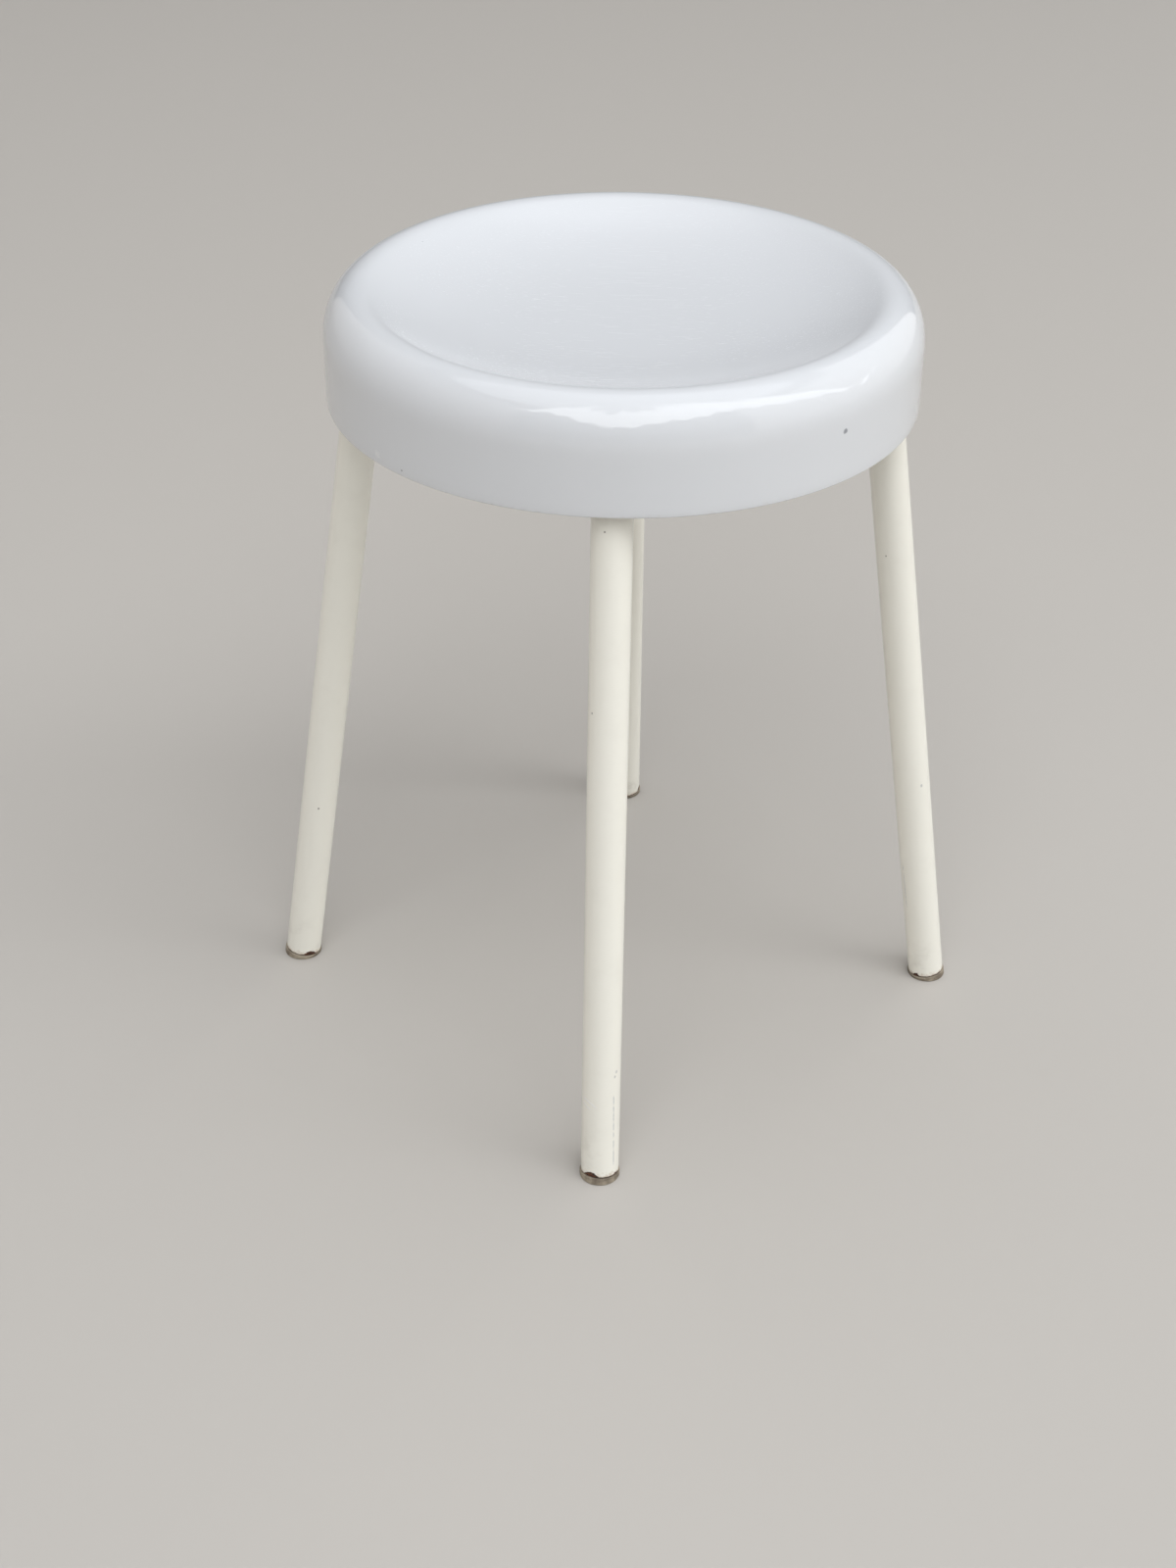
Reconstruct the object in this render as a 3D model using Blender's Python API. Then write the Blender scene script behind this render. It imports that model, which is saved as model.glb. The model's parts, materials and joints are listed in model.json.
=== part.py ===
"""Four-legged stool with a round, dished, moulded plastic seat.

Run with blender --background --python part.py, or from the text editor.
Units are metres and +Z is up. The origin is on the floor, under the centre of
the seat. The front leg stands towards -Y and the right leg towards +X.

The seat is one moulding: dish, rolled rim, skirt, and screw bosses under the
dish. Two flat bars cross under the dish, and screws hold the seat down on them.
The ends of the bars are bent square to the legs. Each leg is a straight tube
with a tapped plug in its top, and a stud joins it to a nut welded on the bar.
A glide in the lower end of the tube has a foot that is flat on the floor.
"""

from math import atan2, cos, pi, radians, sin, sqrt, tan

import bmesh
import bpy
from mathutils import Matrix, Vector

# --- Seat -------------------------------------------------------------------
SEAT_RADIUS = 0.1655  # outside of the skirt
SEAT_HEIGHT = 0.4640  # floor to the crest of the rim, the stool's full height
SEAT_WALL = 0.0035
SKIRT_DEPTH = 0.0610  # crest of the rim to the skirt's lower edge
SKIRT_EDGE_ROUND = 0.0010
RIM_ROLL_WIDTH = 0.0200  # crest of the rim to the outside of the skirt
RIM_ROLL_HEIGHT = 0.0260  # crest of the rim to where the skirt turns vertical
RIM_CREST_ROUND = 0.0140  # radius of the crest on the dish's side
RIM_INNER_SLOPE = radians(27.0)  # slope where the crest's curve meets the dish
DISH_DEPTH = 0.0230  # crest of the rim to the middle of the dish

# --- Legs and glides ----------------------------------------------------------
LEG_NAMES = ("front", "right", "rear", "left")
TUBE_RADIUS = 0.0110
TUBE_WALL = 0.0015
FOOT_CIRCLE_RADIUS = 0.2035  # where the leg axes meet the floor
LEG_TO_SKIRT = 0.0053  # tube's outside to the skirt's inside, at its lower edge
GLIDE_LIP = 0.0006  # how far the glide's flange stands out from the tube
GLIDE_THIN_EDGE = 0.0013  # flange's thickness on its thin side, after it is cut level
GLIDE_STEM = 0.0200
GLIDE_EDGE = 0.0005

# --- Cross bars ---------------------------------------------------------------
BAR_WIDTH = 0.0300
BAR_THICKNESS = 0.0040
BAR_UNDER_DISH = 0.0065  # lowest point of the dish's underside to the bar's top
BAR_JOGGLE_RUN = 0.0080  # length over which the lower bar steps down
BAR_END_OVER_LEG = 0.0030  # how far the bar's end reaches past the tube
BAR_BEND_BEFORE_LEG = 0.0040  # tube's inner side to the bend in the bar

# --- Fasteners ----------------------------------------------------------------
STUD_RADIUS = 0.0050
STUD_IN_PLUG = 0.0160
STUD_PAST_NUT = 0.0010
PLUG_LENGTH = 0.0220
NUT_WALL = 0.0030  # stud's outside to a flat of the nut
NUT_HEIGHT = 0.0080
SPRING_WASHER_WIDTH = 0.0035
SPRING_WASHER_THICKNESS = 0.0022
SCREW_RADIUS = 0.0024
SCREW_HEAD_RADIUS = 0.0046
SCREW_HEAD_HEIGHT = 0.0031
SCREW_BITE = 0.0065  # how far a seat screw reaches into its boss
SCREW_TIP_ROOM = 0.0010  # pilot hole's depth past the screw's tip
SCREW_PAST_JOGGLE = 0.0230  # where the lower bar is level again to the inner screw
SCREW_BEFORE_BEND = 0.0170  # outer screw to the bend at the bar's end
SEAT_WASHER_RADIUS = 0.0060
SEAT_WASHER_THICKNESS = 0.0010
BOSS_RADIUS = 0.0065
RIVET_RADIUS = 0.0040
RIVET_HEAD_RADIUS = 0.0080
RIVET_HEAD_HEIGHT = 0.0022

# --- Fits ---------------------------------------------------------------------
GAP = 0.0003  # between faces that touch on the real stool
HOLE_ROOM = 0.0004  # radial room of a bolt, screw or rivet in its hole

# --- Facets -------------------------------------------------------------------
SEAT_SIDES = 60
TUBE_SIDES = 24
SMALL_SIDES = 16
DISH_STEPS = 6
CREST_STEPS = 3
ROLL_STEPS = 5

# --- Colours: base colour, metallic, roughness ----------------------------------
FINISHES = {
    "white_plastic": ((0.80, 0.81, 0.83), 0.0, 0.12),
    "cream_enamel": ((0.80, 0.75, 0.64), 0.0, 0.25),
    "worn_glide": ((0.24, 0.21, 0.18), 0.0, 0.75),
    "zinc_steel": ((0.56, 0.56, 0.55), 1.0, 0.35),
}

# --- Worked out from the sizes above ------------------------------------------
SKIRT_BOTTOM = SEAT_HEIGHT - SKIRT_DEPTH
CREST_RADIUS = SEAT_RADIUS - RIM_ROLL_WIDTH
DISH_BOTTOM = SEAT_HEIGHT - DISH_DEPTH
BAR_TOP = DISH_BOTTOM - SEAT_WALL - BAR_UNDER_DISH


def leg_splay():
    """Angle of a leg from the vertical, solved so that it clears the skirt."""
    reach = SEAT_RADIUS - SEAT_WALL - LEG_TO_SKIRT
    angle = 0.0
    for _ in range(20):
        angle = atan2(FOOT_CIRCLE_RADIUS - reach + TUBE_RADIUS / cos(angle), SKIRT_BOTTOM)
    return angle


def leg_radius_at(z):
    """Distance of a leg's axis from the stool's axis, at a height."""
    return FOOT_CIRCLE_RADIUS - z * tan(SPLAY)


def bend_radius():
    """Distance from the centre to the bend in a bar's underside."""
    tube_side = leg_radius_at(BAR_TOP - BAR_THICKNESS) - TUBE_RADIUS / cos(SPLAY)
    return tube_side - BAR_BEND_BEFORE_LEG


SPLAY = leg_splay()
GLIDE_FLANGE = GLIDE_THIN_EDGE + (TUBE_RADIUS + GLIDE_LIP) * tan(SPLAY)
JOGGLE_START = BAR_WIDTH / 2 + BAR_JOGGLE_RUN / 2
SCREW_CIRCLES = {
    "inner": JOGGLE_START + BAR_JOGGLE_RUN + SCREW_PAST_JOGGLE,
    "outer": bend_radius() - SCREW_BEFORE_BEND,
}


# ------------------------------------------------------------------------------
# Helpers
# ------------------------------------------------------------------------------
def clear_scene():
    for obj in list(bpy.data.objects):
        bpy.data.objects.remove(obj, do_unlink=True)


def finish_material(name):
    material = bpy.data.materials.get(name)
    if material is None:
        colour, metallic, roughness = FINISHES[name]
        material = bpy.data.materials.new(name)
        material.use_nodes = True
        shader = material.node_tree.nodes["Principled BSDF"]
        shader.inputs["Base Color"].default_value = (*colour, 1.0)
        shader.inputs["Metallic"].default_value = metallic
        shader.inputs["Roughness"].default_value = roughness
    return material


def add_object(name, mesh, finish, place=Matrix()):
    obj = bpy.data.objects.new(name, mesh)
    obj.matrix_world = place
    bpy.context.scene.collection.objects.link(obj)
    if not mesh.materials:
        mesh.materials.append(finish_material(finish))
    return obj


def mesh_from(bm, name, smooth=True):
    bmesh.ops.recalc_face_normals(bm, faces=bm.faces)
    mesh = bpy.data.meshes.new(name)
    bm.to_mesh(mesh)
    bm.free()
    if smooth:
        mesh.shade_smooth()
        mesh.set_sharp_from_angle(angle=radians(35))
    return mesh


def arc(centre, radii, start, end, steps):
    """Points (r, z) on an ellipse's arc, from one angle to another, in radians."""
    points = []
    for i in range(steps + 1):
        angle = start + (end - start) * i / steps
        points.append((centre[0] + radii[0] * cos(angle), centre[1] + radii[1] * sin(angle)))
    return points


def turned(profile, name, sides):
    """A body turned about Z from an outline of (r, z) points.

    An outline that starts and ends on the axis is left open there, and any
    other outline is closed into a ring.
    """
    bm = bmesh.new()
    points = [bm.verts.new((r, 0.0, z)) for r, z in profile]
    on_axis = profile[0][0] == 0 and profile[-1][0] == 0
    following = points[1:] if on_axis else points[1:] + points[:1]
    edges = [bm.edges.new(pair) for pair in zip(points, following)]
    bmesh.ops.spin(
        bm, geom=points + edges, axis=(0, 0, 1), cent=(0, 0, 0), angle=2 * pi, steps=sides, use_merge=True
    )
    bmesh.ops.remove_doubles(bm, verts=bm.verts, dist=1e-6)
    return mesh_from(bm, name)


def leg_frame(index, distance):
    """Matrix at a distance up a leg's axis from the floor, its +Z up the axis.

    Its +X points away from the stool's axis, square to the leg.
    """
    turn = Matrix.Rotation(index * pi / 2 - pi / 2, 4, "Z")
    lean = Matrix.Rotation(-SPLAY, 4, "Y")
    return turn @ Matrix.Translation((FOOT_CIRCLE_RADIUS, 0, 0)) @ lean @ Matrix.Translation((0, 0, distance))


def arm_frame(index, radius, z):
    """Upright matrix on a leg's side of the stool, its +X away from the axis."""
    turn = Matrix.Rotation(index * pi / 2 - pi / 2, 4, "Z")
    return turn @ Matrix.Translation((radius, 0, z))


def shape_with(target, helper, operation):
    """Adds or takes away a helper with an exact Boolean, kept as a modifier."""
    helper.hide_render = True
    helper.display_type = "WIRE"
    modifier = target.modifiers.new(helper.name, "BOOLEAN")
    modifier.operation = operation
    modifier.solver = "EXACT"
    modifier.object = helper


def placed_together(name, pieces, finish):
    """One helper object from separate (mesh, place) bodies."""
    bm = bmesh.new()
    for mesh, place in pieces:
        moved = mesh.copy()
        moved.transform(place)
        bm.from_mesh(moved)
    return add_object(name, mesh_from(bm, name), finish)


def drill(radius):
    """A round cutter along its own Z, centred, longer than a bar is thick."""
    half = 2 * BAR_THICKNESS
    return turned([(0, -half), (radius, -half), (radius, half), (0, half)], "drill", SMALL_SIDES)


# ------------------------------------------------------------------------------
# Seat
# ------------------------------------------------------------------------------
def dish_edge():
    """(r, z) where the crest's curve hands over to the dish."""
    join_radius = CREST_RADIUS - RIM_CREST_ROUND * sin(RIM_INNER_SLOPE)
    join_z = SEAT_HEIGHT - RIM_CREST_ROUND * (1 - cos(RIM_INNER_SLOPE))
    return join_radius, join_z


def dish_height(radius):
    """Height of the dish's upper face at a distance from the axis.

    z = bottom + a r^2 + b r^4, which meets the crest's curve in height and slope.
    """
    join_radius, join_z = dish_edge()
    rise = join_z - DISH_BOTTOM
    slope = tan(RIM_INNER_SLOPE)
    b = (slope * join_radius / 2 - rise) / join_radius**4
    a = (rise - b * join_radius**4) / join_radius**2
    return DISH_BOTTOM + a * radius**2 + b * radius**4


def seat_outer_line():
    """(r, z) points of the seat's show face, from the middle to the lower edge."""
    join_radius, _ = dish_edge()
    dish_radii = [join_radius * i / DISH_STEPS for i in range(DISH_STEPS)]
    dish = [(r, dish_height(r)) for r in dish_radii]
    crest_centre = (CREST_RADIUS, SEAT_HEIGHT - RIM_CREST_ROUND)
    crest_radii = (RIM_CREST_ROUND, RIM_CREST_ROUND)
    crest = arc(crest_centre, crest_radii, pi / 2 + RIM_INNER_SLOPE, pi / 2, CREST_STEPS)
    roll_centre = (CREST_RADIUS, SEAT_HEIGHT - RIM_ROLL_HEIGHT)
    roll = arc(roll_centre, (RIM_ROLL_WIDTH, RIM_ROLL_HEIGHT), pi / 2, 0, ROLL_STEPS)
    return dish + crest + roll[1:]


def offset_line(points, distance):
    """The same line, moved to its right by a distance, with mitred corners."""
    moved = []
    for i, here in enumerate(points):
        before = points[max(i - 1, 0)]
        after = points[min(i + 1, len(points) - 1)]
        along = Vector(after) - Vector(before)
        along.normalize()
        moved.append((here[0] + along.y * distance, here[1] - along.x * distance))
    return moved


def seat_profile():
    """Closed outline of the seat's wall: show face, rounded lower edge, inside."""
    outer = seat_outer_line()
    inner = offset_line(outer, SEAT_WALL)
    inner[0] = (0.0, inner[0][1])
    inner[-1] = (SEAT_RADIUS - SEAT_WALL, outer[-1][1])
    edge_z = SKIRT_BOTTOM + SKIRT_EDGE_ROUND
    edge_round = (SKIRT_EDGE_ROUND, SKIRT_EDGE_ROUND)
    edge = arc((SEAT_RADIUS - SKIRT_EDGE_ROUND, edge_z), edge_round, 0, -pi / 2, 2)
    edge.append((SEAT_RADIUS - SEAT_WALL, SKIRT_BOTTOM))
    return outer + edge + inner[::-1]


def boss_mesh(circle):
    """A round boss with a blind pilot hole, from its lower face into the dish."""
    height = dish_height(SCREW_CIRCLES[circle]) - SEAT_WALL / 2 - BAR_TOP - GAP
    hole = SCREW_RADIUS + GAP
    depth = SCREW_BITE + SCREW_TIP_ROOM
    profile = [(0, depth), (hole, depth), (hole, 0), (BOSS_RADIUS, 0), (BOSS_RADIUS, height), (0, height)]
    return turned(profile, "boss", SMALL_SIDES)


def make_seat():
    seat = add_object("seat_shell", turned(seat_profile(), "seat_shell", SEAT_SIDES), "white_plastic")
    bosses = []
    for circle, radius in SCREW_CIRCLES.items():
        mesh = boss_mesh(circle)
        bosses += [(mesh, arm_frame(i, radius, BAR_TOP + GAP)) for i in range(len(LEG_NAMES))]
    shape_with(seat, placed_together("seat_bosses", bosses, "white_plastic"), "UNION")


# ------------------------------------------------------------------------------
# Cross bars
# ------------------------------------------------------------------------------
def washer_stack():
    """Room along the leg's axis between the tube's top and the bar."""
    return SPRING_WASHER_THICKNESS + 2 * GAP


def bar_underside_on_leg():
    """Distance up a leg's axis to the under face of the bar's bent end.

    The bend is the point where the level arm's underside starts to tilt.
    """
    level_z = BAR_TOP - BAR_THICKNESS
    from_bend = leg_radius_at(level_z) - bend_radius()
    return level_z / cos(SPLAY) + from_bend * sin(SPLAY)


def bar_half_line(drop):
    """(x, z) points of a bar's underside, from the centre out to its end.

    The arm is level, and its end rises at the splay angle, square to the leg.
    With a drop, the middle steps down by that much to pass under the other bar.
    """
    level_z = BAR_TOP - BAR_THICKNESS
    bend = bend_radius()
    end_run = (2 * TUBE_RADIUS + BAR_BEND_BEFORE_LEG + BAR_END_OVER_LEG) * cos(SPLAY)
    line = [(bend, level_z), (bend + end_run, level_z + end_run * tan(SPLAY))]
    if drop:
        line = [(JOGGLE_START, level_z - drop), (JOGGLE_START + BAR_JOGGLE_RUN, level_z)] + line
    return line


def thickened(points, thickness):
    """The line moved up, square to itself, with true mitres at its corners."""
    moved = []
    for i, here in enumerate(points):
        sides = []
        for a, b in ((i - 1, i), (i, i + 1)):
            if 0 <= a and b < len(points):
                along = Vector(points[b]) - Vector(points[a])
                along.normalize()
                sides.append(Vector((-along.y, along.x)))
        mitre = sides[0] + sides[-1]
        mitre.normalize()
        moved.append(tuple(Vector(here) + mitre * (thickness / mitre.dot(sides[0]))))
    return moved


def bar_mesh(name, drop):
    half = bar_half_line(drop)
    under = [(-x, z) for x, z in half[::-1]] + half
    upper = thickened(under, BAR_THICKNESS)
    bm = bmesh.new()
    outline = [bm.verts.new((x, -BAR_WIDTH / 2, z)) for x, z in under + upper[::-1]]
    face = bm.faces.new(outline)
    grown = bmesh.ops.extrude_face_region(bm, geom=[face])
    corners = [item for item in grown["geom"] if isinstance(item, bmesh.types.BMVert)]
    bmesh.ops.translate(bm, verts=corners, vec=(0, BAR_WIDTH, 0))
    round_corners(bm)
    return mesh_from(bm, name)


def round_corners(bm):
    """Rounds the four upright corners at the bar's two ends."""
    far = max(abs(vert.co.x) for vert in bm.verts) - BAR_THICKNESS
    ends = []
    for edge in bm.edges:
        a, b = edge.verts
        if abs(a.co.x) > far and a.co.x * b.co.x > 0 and abs(a.co.y - b.co.y) < 1e-6:
            if abs(b.co.x) > far:
                ends.append(edge)
    bmesh.ops.bevel(bm, geom=ends, offset=BAR_WIDTH / 4, segments=4, profile=0.5, affect="EDGES")


def bar_holes(name, legs):
    """Cutters for one bar: the rivet's hole, and each arm's stud and screw holes."""
    middle = BAR_TOP - BAR_THICKNESS / 2
    holes = [(drill(RIVET_RADIUS + HOLE_ROOM), arm_frame(0, 0.0, middle - BAR_THICKNESS / 2))]
    stud_hole, screw_hole = drill(STUD_RADIUS + HOLE_ROOM), drill(SCREW_RADIUS + HOLE_ROOM)
    for index in legs:
        holes.append((stud_hole, leg_frame(index, bar_underside_on_leg() + BAR_THICKNESS / 2)))
        holes += [(screw_hole, arm_frame(index, r, middle)) for r in SCREW_CIRCLES.values()]
    return placed_together(name, holes, "zinc_steel")


def make_cross_bars():
    upper = add_object("cross_bar_upper", bar_mesh("cross_bar_upper", 0.0), "zinc_steel")
    shape_with(upper, bar_holes("upper_bar_holes", (1, 3)), "DIFFERENCE")
    lower_mesh = bar_mesh("cross_bar_lower", BAR_THICKNESS + GAP)
    lower_mesh.transform(Matrix.Rotation(pi / 2, 4, "Z"))
    lower = add_object("cross_bar_lower", lower_mesh, "zinc_steel")
    shape_with(lower, bar_holes("lower_bar_holes", (0, 2)), "DIFFERENCE")


def make_rivet():
    """A shank through both bars with a domed head at each end."""
    top = BAR_TOP + GAP
    bottom = BAR_TOP - 2 * BAR_THICKNESS - 2 * GAP
    radii = (RIVET_HEAD_RADIUS, RIVET_HEAD_HEIGHT)
    lower_head = arc((0, bottom), radii, -pi / 2, 0, 4)
    upper_head = arc((0, top), radii, 0, pi / 2, 4)
    profile = lower_head + [(RIVET_RADIUS, bottom), (RIVET_RADIUS, top)] + upper_head
    profile[0] = (0.0, bottom - RIVET_HEAD_HEIGHT)
    profile[-1] = (0.0, top + RIVET_HEAD_HEIGHT)
    add_object("centre_rivet", turned(profile, "centre_rivet", SMALL_SIDES), "zinc_steel")


# ------------------------------------------------------------------------------
# Legs: glide, tube, plug, spring washer, stud, nut, from the floor up
# ------------------------------------------------------------------------------
def tube_ends():
    """Distances up the axis to the tube's square-cut lower and upper ends."""
    return GLIDE_FLANGE, bar_underside_on_leg() - washer_stack()


def tube_mesh():
    low, high = tube_ends()
    inside = TUBE_RADIUS - TUBE_WALL
    profile = [(TUBE_RADIUS, low + GAP), (TUBE_RADIUS, high), (inside, high), (inside, low + GAP)]
    return turned(profile, "leg_tube", TUBE_SIDES)


def plug_mesh():
    """A plug level with the tube's top, with a hole through it for the stud."""
    _, high = tube_ends()
    outside = TUBE_RADIUS - TUBE_WALL - GAP
    hole = STUD_RADIUS + GAP
    low = high - PLUG_LENGTH
    profile = [(hole, low), (outside, low), (outside, high), (hole, high)]
    return turned(profile, "leg_plug", TUBE_SIDES)


def spring_washer_mesh():
    _, high = tube_ends()
    inside = STUD_RADIUS + HOLE_ROOM
    outside = inside + SPRING_WASHER_WIDTH
    low = high + GAP
    top = low + SPRING_WASHER_THICKNESS
    profile = [(inside, low), (outside, low), (outside, top), (inside, top)]
    return turned(profile, "spring_washer", TUBE_SIDES)


def nut_seat():
    """Distance up the axis to the under face of the weld nut."""
    return bar_underside_on_leg() + BAR_THICKNESS + GAP


def stud_mesh():
    _, high = tube_ends()
    low = high - STUD_IN_PLUG
    top = nut_seat() + NUT_HEIGHT + STUD_PAST_NUT
    chamfer = STUD_RADIUS / 5
    side = STUD_RADIUS
    profile = [(0, low), (side - chamfer, low), (side, low + chamfer)]
    profile += [(side, top - chamfer), (side - chamfer, top), (0, top)]
    return turned(profile, "leg_stud", SMALL_SIDES)


def nut_mesh():
    """A hexagonal nut with a round hole, as four rings of points joined in turn."""
    low = nut_seat()
    high = low + NUT_HEIGHT
    corner = 2 * (STUD_RADIUS + NUT_WALL) / sqrt(3)
    hole = STUD_RADIUS + GAP
    sides = 24
    bm = bmesh.new()
    rings = []
    for z in (low, high):
        for shape in ("hex", "hole"):
            ring = []
            for i in range(sides):
                angle = 2 * pi * i / sides
                off_corner = (angle + pi / 6) % (pi / 3) - pi / 6
                flat = corner * cos(pi / 6) / cos(pi / 6 - abs(off_corner))
                radius = flat if shape == "hex" else hole
                ring.append(bm.verts.new((radius * cos(angle), radius * sin(angle), z)))
            rings.append(ring)
    low_hex, low_hole, high_hex, high_hole = rings
    for a, b in ((low_hex, high_hex), (high_hex, high_hole), (high_hole, low_hole), (low_hole, low_hex)):
        for i in range(sides):
            j = (i + 1) % sides
            bm.faces.new((a[i], a[j], b[j], b[i]))
    return mesh_from(bm, "weld_nut")


def glide_mesh():
    """Flange under the tube's end and a stem with a tapered tip inside the tube."""
    stem = TUBE_RADIUS - TUBE_WALL - GAP
    lip = TUBE_RADIUS + GLIDE_LIP
    top = GLIDE_FLANGE + GLIDE_STEM
    # The flange starts below the floor, so that cutting it level leaves a flat foot.
    below = -2 * lip * tan(SPLAY)
    profile = [(0, below), (lip, below), (lip, GLIDE_FLANGE - GLIDE_EDGE), (lip - GLIDE_EDGE, GLIDE_FLANGE)]
    profile += [(stem, GLIDE_FLANGE), (stem, top - 2 * GLIDE_EDGE), (stem - 2 * GLIDE_EDGE, top), (0, top)]
    return turned(profile, "foot_glide", TUBE_SIDES)


def level_foot(mesh):
    """Cuts a glide off level with the floor, in the leg's leaning frame."""
    bm = bmesh.new()
    bm.from_mesh(mesh)
    up = Vector((sin(SPLAY), 0, cos(SPLAY)))
    whole = list(bm.verts) + list(bm.edges) + list(bm.faces)
    cut_away = bmesh.ops.bisect_plane(
        bm, geom=whole, dist=1e-7, plane_co=(0, 0, 0), plane_no=up, clear_inner=True
    )
    rim = [item for item in cut_away["geom_cut"] if isinstance(item, bmesh.types.BMEdge)]
    bmesh.ops.contextual_create(bm, geom=rim)
    bmesh.ops.recalc_face_normals(bm, faces=bm.faces)
    bm.to_mesh(mesh)
    bm.free()
    return mesh


def make_legs():
    pieces = {
        "foot_glide": (level_foot(glide_mesh()), "worn_glide"),
        "leg_tube": (tube_mesh(), "cream_enamel"),
        "leg_plug": (plug_mesh(), "zinc_steel"),
        "spring_washer": (spring_washer_mesh(), "zinc_steel"),
        "leg_stud": (stud_mesh(), "zinc_steel"),
        "weld_nut": (nut_mesh(), "zinc_steel"),
    }
    for index, leg in enumerate(LEG_NAMES):
        for piece, (mesh, finish) in pieces.items():
            add_object(f"{piece}_{leg}", mesh, finish, leg_frame(index, 0.0))


# ------------------------------------------------------------------------------
# Seat screws and their washers
# ------------------------------------------------------------------------------
def seat_washer_mesh():
    top = -GAP
    low = top - SEAT_WASHER_THICKNESS
    inside = SCREW_RADIUS + HOLE_ROOM
    profile = [(inside, low), (SEAT_WASHER_RADIUS, low), (SEAT_WASHER_RADIUS, top), (inside, top)]
    return turned(profile, "seat_washer", SMALL_SIDES)


def seat_screw_mesh():
    """A pan head under the washer and a shank up through the bar into the boss."""
    head_top = -SEAT_WASHER_THICKNESS - 2 * GAP
    head_low = head_top - SCREW_HEAD_HEIGHT
    tip = BAR_THICKNESS + GAP + SCREW_BITE
    point = SCREW_RADIUS / 2
    edge = SCREW_HEAD_HEIGHT / 2
    flat = SCREW_HEAD_RADIUS - edge
    head = [(0, head_low)] + arc((flat, head_low + edge), (edge, edge), -pi / 2, 0, 3)
    shank = [(SCREW_HEAD_RADIUS, head_top), (SCREW_RADIUS, head_top), (SCREW_RADIUS, tip - point)]
    return turned(head + shank + [(SCREW_RADIUS - point, tip), (0, tip)], "seat_screw", SMALL_SIDES)


def make_seat_screws():
    screw, washer = seat_screw_mesh(), seat_washer_mesh()
    for index, leg in enumerate(LEG_NAMES):
        for circle, radius in SCREW_CIRCLES.items():
            place = arm_frame(index, radius, BAR_TOP - BAR_THICKNESS)
            add_object(f"seat_screw_{leg}_{circle}", screw, "zinc_steel", place)
            add_object(f"seat_washer_{leg}_{circle}", washer, "zinc_steel", place)


clear_scene()
make_seat()
make_cross_bars()
make_rivet()
make_legs()
make_seat_screws()
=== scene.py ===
"""Shower stool: its finished surfaces, materials and stage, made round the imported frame.

Every piece is a surface worked out with numpy from the sizes of the frame's solids.
A "line" is an array of (radius, height) points. A "patch" is a grid of points with
a flag that says whether its last column joins its first.
"""

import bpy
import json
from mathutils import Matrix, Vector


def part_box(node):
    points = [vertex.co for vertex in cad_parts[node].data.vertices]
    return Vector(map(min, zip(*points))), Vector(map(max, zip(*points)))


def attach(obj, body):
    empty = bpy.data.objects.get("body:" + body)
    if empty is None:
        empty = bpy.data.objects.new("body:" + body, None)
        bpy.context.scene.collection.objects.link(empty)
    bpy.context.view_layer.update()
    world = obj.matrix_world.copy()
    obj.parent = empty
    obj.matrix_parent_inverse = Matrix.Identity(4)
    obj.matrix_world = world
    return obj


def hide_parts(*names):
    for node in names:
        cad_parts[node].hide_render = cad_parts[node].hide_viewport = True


bl_info = {
    "name": "Shower stool",
    "version": (1, 0, 0),
    "blender": (4, 5, 0),
    "location": "3D View > Sidebar > Stool",
    "description": "Makes the finished surfaces and materials of a shower stool",
    "category": "Object",
}

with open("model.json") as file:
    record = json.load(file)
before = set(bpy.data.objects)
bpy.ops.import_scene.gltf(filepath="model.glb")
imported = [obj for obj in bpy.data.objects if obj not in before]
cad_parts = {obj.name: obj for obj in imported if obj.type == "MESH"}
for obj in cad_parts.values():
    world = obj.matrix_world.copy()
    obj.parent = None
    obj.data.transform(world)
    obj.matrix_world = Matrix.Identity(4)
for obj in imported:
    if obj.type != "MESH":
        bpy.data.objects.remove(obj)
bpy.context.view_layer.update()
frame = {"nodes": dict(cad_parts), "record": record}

import json
from functools import reduce
from math import cos, pi, radians, sin, tan

import bmesh
import bpy
import numpy as np
from bpy.props import FloatProperty, FloatVectorProperty, PointerProperty
from mathutils import Matrix

LEGS = ("front", "right", "rear", "left")
CIRCLES = ("inner", "outer")
GAP = 0.0003  # room between pieces that touch on the real stool
HOLE_ROOM = 0.0004  # radial room of a rivet, stud or screw in its hole
HOLE_CELL = 0.0125  # half the length of bar that is meshed round a hole
MM = 0.001


# ---- Sizes and places taken from the frame ----
def node_points(name):
    """Vertices of one of the frame's solids, as rows of (x, y, z)."""
    mesh = frame["nodes"][name].data
    points = np.empty(len(mesh.vertices) * 3, np.float32)
    mesh.vertices.foreach_get("co", points)
    return points.reshape(-1, 3).astype(float)


class Place:
    """Axes of its own for a piece: an origin, and three directions as a matrix's columns."""

    def __init__(self, origin, axes):
        self.origin = np.asarray(origin, float)
        self.axes = np.asarray(axes, float)

    def world(self, local):
        return local @ self.axes.T + self.origin

    def local(self, points):
        return (points - self.origin) @ self.axes

    def moved(self, distance):
        """The same axes, with the origin moved along the third of them."""
        return Place(self.origin + distance * self.axes[:, 2], self.axes)


def unit(vector):
    return np.asarray(vector, float) / np.linalg.norm(vector)


def leg_place(leg):
    """Origin where the leg's axis meets the floor; x away from the stool, z up the leg."""
    mounts = {mount["name"]: mount["pos_m"] for mount in frame["record"]["mounts"]}
    origin = np.array(mounts["foot_" + leg])
    tube = node_points("leg_tube_" + leg)
    up = unit((tube.min(axis=0) + tube.max(axis=0)) / 2 - origin)
    out = unit(origin - up * (origin @ up))
    return Place(origin, np.stack([out, np.cross(up, out), up], axis=1))


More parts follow.
